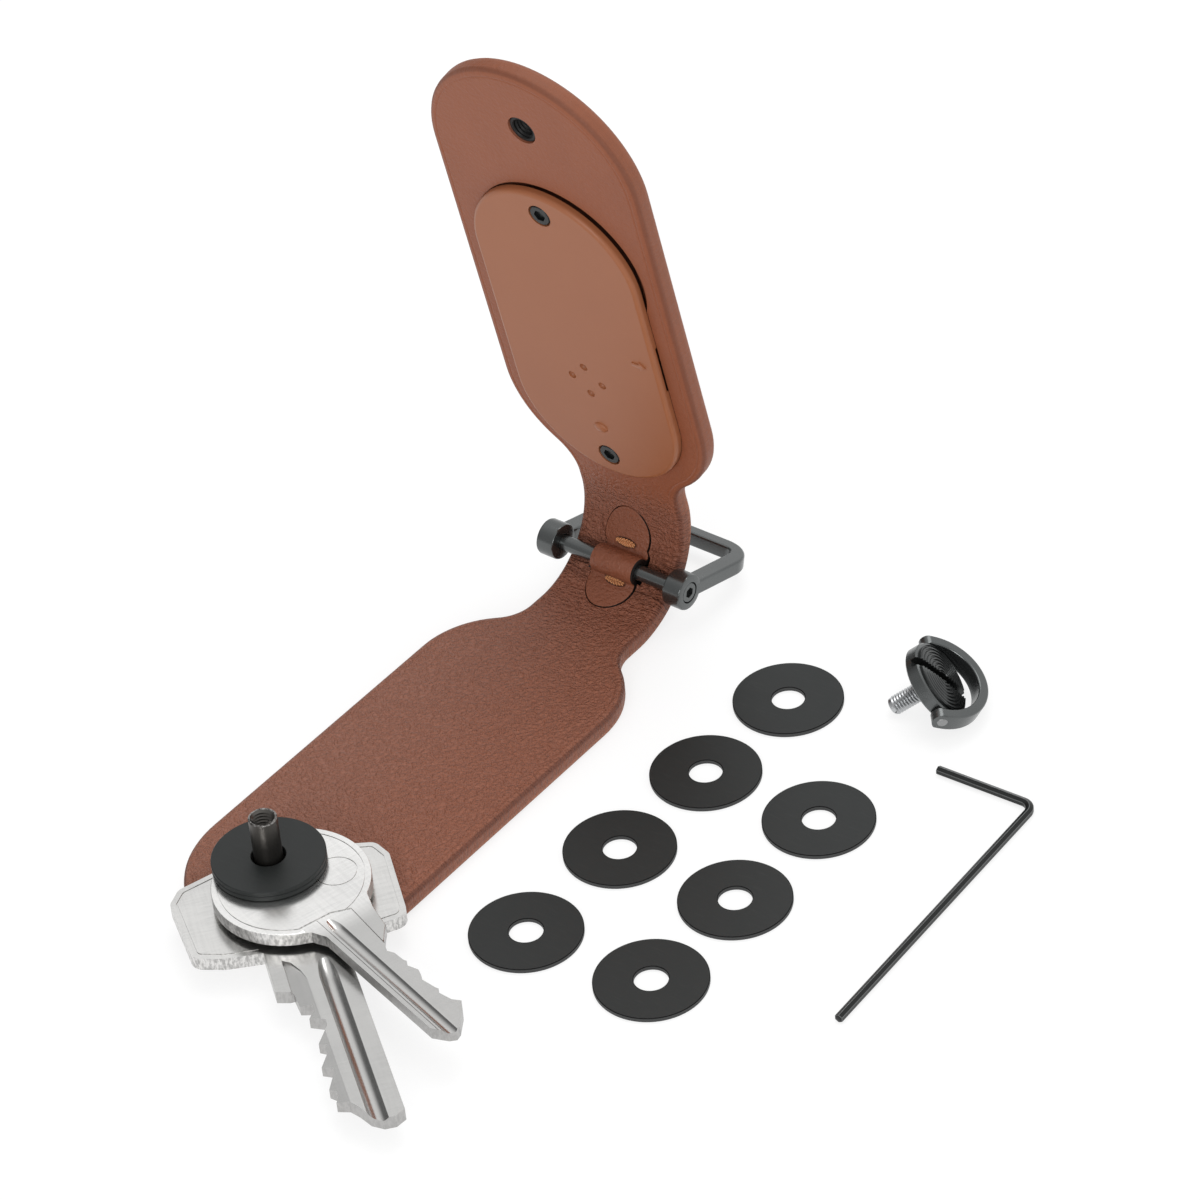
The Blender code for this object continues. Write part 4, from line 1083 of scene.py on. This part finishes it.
def make_tracker():
    place = upper_place()
    lid = plate([stadium(lid_radius, lid_centre, lid_half_straight, 48)], lid_low, lid_top,
                soft_high=lid_round, segments=5)
    below, above = lid_low - overrun, lid_top + overrun
    inside = stadium(tray_radius + tray_gap, lid_centre, lid_half_straight, 40)
    tools = [plate([inside], below, lid_top - lid_wall)]
    for way in (1, -1):
        spot = (0, lid_centre + way * lid_screw_offset)
        seat = circle(spot, lid_screw_head + lid_screw_gap, 40)
        tools.append(plate([seat], lid_top - lid_screw_seat, above))
        tools.append(plate([circle(spot, lid_screw_bore, 24)], below, above))
    for x, y in sound_holes:
        spot = Matrix.Translation((x, y, lid_top + dimple_rise))
        tools.append(ball(spot @ Matrix.Scale(dimple_radius, 4), 24, 16))
        tools.append(plate([circle((x, y), sound_hole_radius, 16)], below, above))
    near, far = lid_radius - notch_inset, lid_radius + overrun
    first, last = notch_span
    notch = [(near, first), (far, first), (far, last), (near, last)]
    tools.append(plate([notch], below, lid_low + notch_height))
    dot = ball(Matrix.Translation((*dot_place, lid_top)) @ Matrix.Diagonal((*dot_half_sizes, 1)), 28)
    finished(joined(carved(lid, *tools), dot, raised_arrow()), "tracker_lid_moulded", "lid", "brown_cover",
             ("tracker_lid",), place=place)
    for side, way, body in (("upper", 1, "lid_screw_a"), ("lower", -1, "lid_screw_b")):
        lid_screw(side, body, place @ Matrix.Translation((0, lid_centre + way * lid_screw_offset, 0)))


def raised_arrow():
    x, y = arrow_place
    outline = [(x - 1.1, y - 0.3), (x + 0.2, y - 0.3), (x + 0.2, y - 0.8), (x + 1.2, y), (x + 0.2, y + 0.8),
               (x + 0.2, y + 0.3), (x - 1.1, y + 0.3)]
    rim = 0.12
    return plate([outline], lid_top - rim, lid_top + arrow_height, soft_high=rim, segments=2)


def lid_screw(side, body, place):
    rim, head, shank, foot, sunk_by, socket_radius = 0.15, 0.42, 0.95, 1.8, 0.02, 0.92
    top = lid_top - sunk_by
    screw = turned([(0, top), (lid_screw_head - rim, top), (lid_screw_head, top - rim),
                    (lid_screw_head, top - head), (shank, top - head), (shank, foot), (0, foot)], 48)
    socket = plate([circle((0, 0), socket_radius, 6)], top - head + sunk_by, top + overrun)
    finished(carved(screw, socket), "lid_screw_%s_cap" % side, body, "tool_black",
             ("lid_screw_" + side,), place=place)


# Shackle

def bow_line(side, reach, corner, steps):
    return rounded([(side, 0), (side, reach), (-side, reach), (-side, 0)], [0, corner, corner, 0], steps)


def make_bow(half):
    outer = bow_line(half, bow_reach, bow_corner, 12)
    inner = bow_line(half - bow_arm, bow_reach - bow_bar, bow_inner_corner, 8)
    bow = plate([outer + inner[::-1]], -bow_height / 2, bow_height / 2, soft_low=bow_round,
                soft_high=bow_round)
    rim, slight = 0.3, 0.09
    eyes, bores = [], []
    for way in (1, -1):
        low, high = sorted((way * half, way * (half - eye_length)))
        eyes.append(turned([(0, high), (eye_radius - rim, high), (eye_radius - slight, high - slight),
                            (eye_radius, high - rim), (eye_radius, low + rim),
                            (eye_radius - slight, low + slight), (eye_radius - rim, low), (0, low)], 64))
    bore_gap, head_gap, head_seat, floor_share = 0.06, 0.1, 0.8, 0.4
    high = half + overrun
    for radius, low in ((pin_radius + bore_gap, -half + eye_length * floor_share),
                        (pin_head + head_gap, half - head_seat)):
        bores.append(turned([(0, high), (radius, high), (radius, low), (0, low)], 48))
    for shape in eyes + bores:
        shape.transform(along_x)
    return carved(carved(bow, *eyes, operation="UNION"), *bores)


def make_shackle():
    half = shackle_half_width
    sunk_by, rim, socket_floor, foot_share = 0.04, 0.12, 0.7, 0.45
    top, foot, shoulder = half - sunk_by, -half + eye_length * foot_share, half - pin_head_length
    pin = turned([(0, top), (pin_head - rim, top), (pin_head, top - rim), (pin_head, shoulder),
                  (pin_radius, shoulder), (pin_radius, foot), (0, foot)], 48)
    pin = carved(pin, plate([circle((0, 0), pin_socket, 6)], half - socket_floor, half + overrun))
    pin.transform(along_x)
    for shape, name, replaced in ((make_bow(half), "shackle_bow_forged", "shackle_bow"),
                                  (pin, "shackle_pin_turned", "shackle_pin")):
        finished(shape, name, "shackle", "gunmetal_blasted", (replaced,), place=shackle_place())


# Keys

def milled(start, end, y, width, depth, run, top):
    """A round-bottomed groove's cutter along X, running out over its first length."""
    radius = (width ** 2 / 4 + depth ** 2) / (2 * depth)
    above = radius - depth
    line = [(above + depth * sin(pi / 2 * i / 8), run * i / 8) for i in range(9)]
    cutter = turned([(0, 0)] + line + [(radius, end - start), (0, end - start)], 48)
    cutter.transform(Matrix.Translation((start, y, top + above)) @ along_x)
    return cutter


def sunk(outlines, top, depth=key_line_depth):
    return plate(outlines, top - depth, top + overrun)


def key_blank(outline, low):
    return plate([outline, circle((0, 0), key_hole, 40)], low, low + key_thickness, soft_low=key_edge,
                 soft_high=key_edge, segments=2)


def lower_key_bow(inset=0.0):
    corners = [(13.6, -4.2), (12.9, -9.2), (11.4, -13.0), (0.2, -13.6), (-2.2, -12.0), (-6.3, 0.0),
               (-2.4, 14.3), (0.4, 15.5), (12.9, 15.0), (14.0, 6.2)]
    radii = [0.8, 2.0, 1.8, 1.2, 1.6, 3.0, 1.6, 1.2, 1.8, 0.8]
    smallest = 0.3
    return rounded(drawn_in(corners, inset), [max(radius - inset, smallest) for radius in radii], 6)


def lower_key_blade():
    tab = [(21.3, -4.3), (21.9, -2.7), (21.9, -2.1)]
    teeth = [(24.6, -1.9), (25.1, -0.4), (26.2, -0.5), (27.3, -1.3), (28.4, 0.6), (29.6, 0.5), (32.2, -1.2),
             (32.9, -0.3), (34.4, -0.6), (36.4, -1.8), (37.2, -0.5), (38.3, -0.7), (40.6, -1.8), (41.5, -1.0),
             (42.4, -1.0), (43.3, -1.5), (43.9, 0.0), (45.2, 0.9)]
    tip = [(47.2, 1.9), (48.3, 3.3), (48.4, 4.8), (47.5, 6.2)]
    return (tab + teeth + tip)[::-1]


def lower_key_slope(top):
    """What is cut from the blade's toothed side, deeper towards the teeth."""
    skin, edge, fall_share = 0.05, 0.1, 0.2
    slope = sunk([[(15.8, -2.3), (16.5, -1.3), (18.4, -0.4), (20.2, 0.05), (50.0, 0.15), (50.0, -6.0),
                   (22.0, -6.0), (22.0, -2.4)]], top, skin)
    for vert in slope.verts:
        if vert.co.z < top:
            vert.co.z -= max(0, edge - vert.co.y) * fall_share
    return slope


def make_lower_key():
    top = key_low + key_thickness
    root = plate([[(11.6, -4.6), (16.0, -4.6), (16.0, 7.4), (11.6, 7.4)]], top - overrun, top + overrun)
    line_inset, line_width = 0.75, 0.18
    rim_line = sunk([lower_key_bow(line_inset), lower_key_bow(line_inset + line_width)], top)
    shape = carved(key_blank(lower_key_bow() + lower_key_blade(), key_low), lower_key_slope(top),
                   milled(start=16.6, end=51.0, y=2.8, width=2.4, depth=0.56, run=4.2, top=top),
                   carved(rim_line, root))
    finished(edged(shape), "key_lower_cut", "lower_key", "nickel_lower_key lower_key_sheared",
             ("key_lower",), place=Matrix.Rotation(lower_key_turn, 4, "Z"), crisp=28)


def make_upper_key():
    top = upper_key_low + key_thickness
    centre, radius = (4.7, 0.2), 10.4
    bow = arc(centre, radius, radians(36), radians(336), 60)
    shoulder = [(19.8, 4.6), (20.6, 3.9), (21.9, 2.9), (22.6, 2.5)]
    teeth = [(23.9, 2.0), (24.8, 2.5), (26.6, 2.6), (27.1, 2.8), (27.9, 2.4), (29.4, 3.0), (30.4, 2.7),
             (31.3, 2.3), (33.5, 2.7), (34.0, 2.9), (34.7, 2.5), (36.7, 3.0), (37.7, 3.8)]
    tip = [(39.2, 2.9), (40.3, 1.9), (41.3, 1.0), (41.7, 0.2), (41.2, -0.7), (39.3, -2.05)]
    outline = bow + [(14.6, -3.3), (16.6, -2.3)] + tip[::-1] + teeth[::-1] + shoulder[::-1] + [(15.7, 5.4)]
    blade = [(13.0, -4.0), (44.0, -4.0), (44.0, 6.0), (22.4, 6.0), (22.4, 2.6), (14.2, 3.1), (13.1, 0.6)]
    side_line = [(13.2, -1.62), (44.0, -1.5), (44.0, -1.4), (13.2, -1.5)]
    stamp, stamp_radius = (7.0, 5.6), 2.8
    rim_radius, rim_width, stamp_width, blade_depth, side_depth = 9.6, 0.16, 0.14, 0.12, 0.2
    tools = [sunk([blade], top, blade_depth), sunk([side_line], top, side_depth),
             milled(start=13.4, end=45.0, y=-0.35, width=1.75, depth=0.55, run=3.0, top=top),
             sunk([circle(centre, rim_radius, 90), circle(centre, rim_radius - rim_width, 90)], top),
             sunk([circle(stamp, stamp_radius), circle(stamp, stamp_radius - stamp_width)], top)]
    finished(edged(carved(key_blank(outline, upper_key_low), *tools)), "key_upper_cut", "upper_key",
             "nickel_upper_key upper_key_sheared", ("key_upper",),
             place=Matrix.Rotation(upper_key_turn, 4, "Z"), crisp=28)


# Closing screw and bail

def screw_head():
    """The round head with its ribbed dome and its slot."""
    rim, shoulder, fall_share, floor_height = 0.2, 0.2, 0.7, 1.2
    rib = dome_radius / dome_rings
    profile = [(0, head_height + dome_height)]
    for i in range(dome_rings):
        for radius_share, depth_share in rib_shares:
            radius = (i + radius_share) * rib
            rise = dome_height * (1 - (radius / dome_radius) ** 2 * fall_share)
            profile.append((radius, head_height + rise - rib_depth * depth_share))
    ledge = head_height - shoulder
    profile += [(dome_radius, ledge), (head_radius - rim, ledge), (head_radius, ledge - rim),
                (head_radius, rim), (head_radius - rim, 0), (0, 0)]
    half, reach = slot_width / 2, head_radius + overrun
    slot = plate([[(-half, -reach), (half, -reach), (half, reach), (-half, reach)]], head_height - slot_depth,
                 head_height + dome_height + overrun)
    head = carved(turned(profile, 96), slot)
    for face in head.faces:
        spot = face.calc_center_median()
        if hypot(spot.x, spot.y) < dome_radius and spot.z > floor_height:
            face.material_index = 1
    return head


def screw_stud():
    depth, foot, rim, spare = 0.18, 0.14, 0.1, 0.3
    root = stud_radius - foot
    core = turned([(0, 0), (root, 0), (root, rim - stud_length), (root - rim, -stud_length),
                   (0, -stud_length)], 32)
    turns = int((stud_length - spare) / stud_pitch)
    return joined(core, thread(stud_radius, depth, stud_pitch, foot - stud_length, turns))


def make_closing_screw():
    place = screw_frame()
    finished(screw_head(), "closing_screw_ribbed", "closing_screw", "gunmetal_blasted gunmetal_dome",
             ("closing_screw_head",), place=place)
    finished(screw_stud(), "closing_screw_threaded", "closing_screw", "bright_steel",
             ("closing_screw_stud",), place=place)
    make_bail()


def half_ellipse(width, reach, steps=40):
    return [(width * cos(pi * i / steps), reach * sin(pi * i / steps))
            for i in range(steps + 1)]


def make_bail():
    """A flat ring seen from the front, with round ends seen from the side, on two rivets."""
    end = bail_height / 2
    far = bail_reach + end
    width, inside = bail_half_width, bail_half_width - bail_bar
    front = (half_ellipse(width, bail_reach) + [(-width, -far), (-inside, -far)]
             + half_ellipse(inside, bail_reach - bail_bar)[::-1] + [(inside, -far), (width, -far)])
    bail = plate([front], -end, end, soft_low=bail_round, soft_high=bail_round, segments=3)
    sides = plate([arc((0, 0), end, pi / 2, pi * 3 / 2, 24) + [(far, -end), (far, end)]], -far, far)
    sides.transform(Matrix(((0, 0, 1, 0), (1, 0, 0, 0), (0, 1, 0, 0), (0, 0, 0, 1))))
    finished(carved(bail, sides, operation="INTERSECT"), "bail_bent", "screw_bail",
             "gunmetal_blasted", ("bail",), place=bail_frame())
    rim, radius = 0.15, bail_pin_radius
    for side, way in (("near", 1), ("far", -1)):
        low, high = sorted((way * (head_radius - bail_pin_depth), way * (width + bail_pin_proud)))
        rivet = turned([(0, high), (radius - rim, high), (radius, high - rim), (radius, low + rim),
                        (radius - rim, low), (0, low)], 32)
        rivet.transform(along_x)
        finished(rivet, "bail_rivet_" + side, "screw_bail", "rivet_steel", ("bail_pivot_" + side,),
                 place=bail_frame())


# Hex key

def make_wrench():
    shape = bmesh.new()
    start = (Matrix.Translation((wrench_long, 0, 0)) @ Matrix.Rotation(pi / 2, 4, "Y")
             @ Matrix.Rotation(pi / 6, 4, "Z"))
    bmesh.ops.create_circle(shape, segments=6, radius=wrench_size / sqrt(3), matrix=start)
    end = shape.verts[:] + shape.edges[:]
    corner = (wrench_bend, -wrench_bend, 0)
    for angle, steps, travel in ((0, 1, (wrench_bend - wrench_long, 0, 0)), (pi / 2, 12, (0, 0, 0)),
                                 (0, 1, (0, wrench_bend - wrench_short, 0))):
        end = bmesh.ops.spin(shape, geom=end, cent=corner, axis=(0, 0, 1), angle=angle, steps=steps,
                             dvec=travel, use_merge=False, use_duplicate=False)["geom_last"]
    bmesh.ops.holes_fill(shape, edges=[edge for edge in shape.edges if edge.is_boundary])
    welded(shape)
    edges = [edge for edge in shape.edges if edge.calc_face_angle(0) > radians(40)]
    worn = bmesh.ops.bevel(shape, geom=edges, offset=wrench_edge_bevel, offset_type="OFFSET", affect="EDGES",
                           segments=2, profile=0.5, material=-1, clamp_overlap=True)
    # the bevels take a lighter finish, for edge wear and as a painted highlight
    for face in worn["faces"]:
        face.material_index = 1
    lowest = min(vert.co.z for vert in shape.verts)
    bmesh.ops.translate(shape, verts=shape.verts, vec=(0, 0, -lowest))
    place = Matrix.Translation(wrench_corner) @ Matrix.Rotation(wrench_heading, 4, "Z")
    finished(shape, "hex_key_bent", "hex_wrench", "tool_black tool_worn_edge", ("hex_key",),
             place=place, crisp=40)


# Finishes for the solids that stay

kept_finishes = {
    "grey_board": ("lower_board", "upper_board"),
    "dark_brown_tray": ("tracker_tray",),
    "soft_rubber": ("tracker_gasket", "tracker_chip"),
    "green_circuit": ("tracker_circuit",),
    "bright_steel": ("coin_battery", "battery_contact"),
    "turned_brass": ("tracker_buzzer", "lid_insert_upper", "lid_insert_lower"),
}


def finish_kept():
    for finish, names in kept_finishes.items():
        for name in names:
            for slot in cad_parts[name].material_slots:
                slot.material = finishes[finish]


# Studio

def make_camera():
    data = bpy.data.cameras.new("camera")
    data.sensor_fit = "HORIZONTAL"
    data.lens = data.sensor_width * focal_pixels / image_width
    data.clip_start, data.clip_end = (reach * millimetre for reach in camera_reach)
    camera = linked("camera", data)
    back = -camera_forward.normalized()
    right = camera_up.cross(back).normalized()
    turn = Matrix((right, back.cross(right), back)).transposed().to_4x4()
    camera.matrix_world = Matrix.Translation(camera_place * millimetre) @ turn
    bpy.context.scene.camera = camera


def make_lamp(name, place, size, energy):
    data = bpy.data.lights.new(name, "AREA")
    data.shape = "DISK"
    data.size = size * millimetre
    data.energy = energy
    place = Vector(place)
    turn = (place - lamp_target).to_track_quat("Z", "Y").to_matrix().to_4x4()
    linked(name, data).matrix_world = Matrix.Translation(place * millimetre) @ turn


def make_floor():
    """A white floor that glows a little to the camera, and where it is mirrored."""
    shape = bmesh.new()
    bmesh.ops.create_grid(shape, x_segments=1, y_segments=1, size=floor_size * millimetre)
    floor = linked("floor", as_mesh(shape, "floor"))
    floor.location = (0, 0, -floor_drop * millimetre)
    pale = Finish("pale_floor", (0.85, 0.85, 0.85), 0.9, Specular_IOR_Level=0.1)
    glow = pale.node("ShaderNodeEmission", None, {"Color": (1.0, 1.0, 1.0), "Strength": floor_white})
    seen = pale.node("ShaderNodeLightPath", output="Is Camera Ray")
    shown = seen + Value(pale, seen.socket.node.outputs["Is Glossy Ray"])
    both = pale.node("ShaderNodeMixShader", None,
                     {0: shown * floor_glow, 1: Value(pale, pale.shader.outputs[0]), 2: glow})
    pale.give(pale.tree.nodes["Material Output"].inputs["Surface"], both)
    floor.data.materials.append(pale.material)


def make_world():
    """A bright room with a dark card on the left; the camera sees it white."""
    world = bpy.data.worlds.new("studio")
    world.use_nodes = True
    sky = Graph(world.node_tree)
    x, y, z = sky.apart(sky.place("Generated"))
    left_card = sky.ramp(x, -0.6, -0.85) * sky.ramp(z, 0.85, 0.5)
    ceiling = sky.ramp(z, 0.72, 0.95)
    level = sky.ramp(y, -0.9, 0.5, 0.5, 0.95) * (1.0 - left_card * 0.8) + ceiling * 0.15
    seen = sky.node("ShaderNodeLightPath", output="Is Camera Ray")
    background = sky.tree.nodes["Background"]
    sky.give(background.inputs["Color"], (1.0, 1.0, 1.0))
    sky.give(background.inputs["Strength"], level * (1.0 - seen) + seen)
    bpy.context.scene.world = world


def make_studio():
    make_camera()
    make_floor()
    make_world()
    for name, place, size, energy in lamps:
        make_lamp(name, place, size, energy)
    bpy.context.scene.view_settings.view_transform = "Standard"


def build():
    make_studio()
    make_strap()
    make_keeper()
    make_post()
    make_washers()
    make_eyelet()
    make_tracker()
    make_shackle()
    make_lower_key()
    make_upper_key()
    make_closing_screw()
    make_wrench()
    finish_kept()


build()
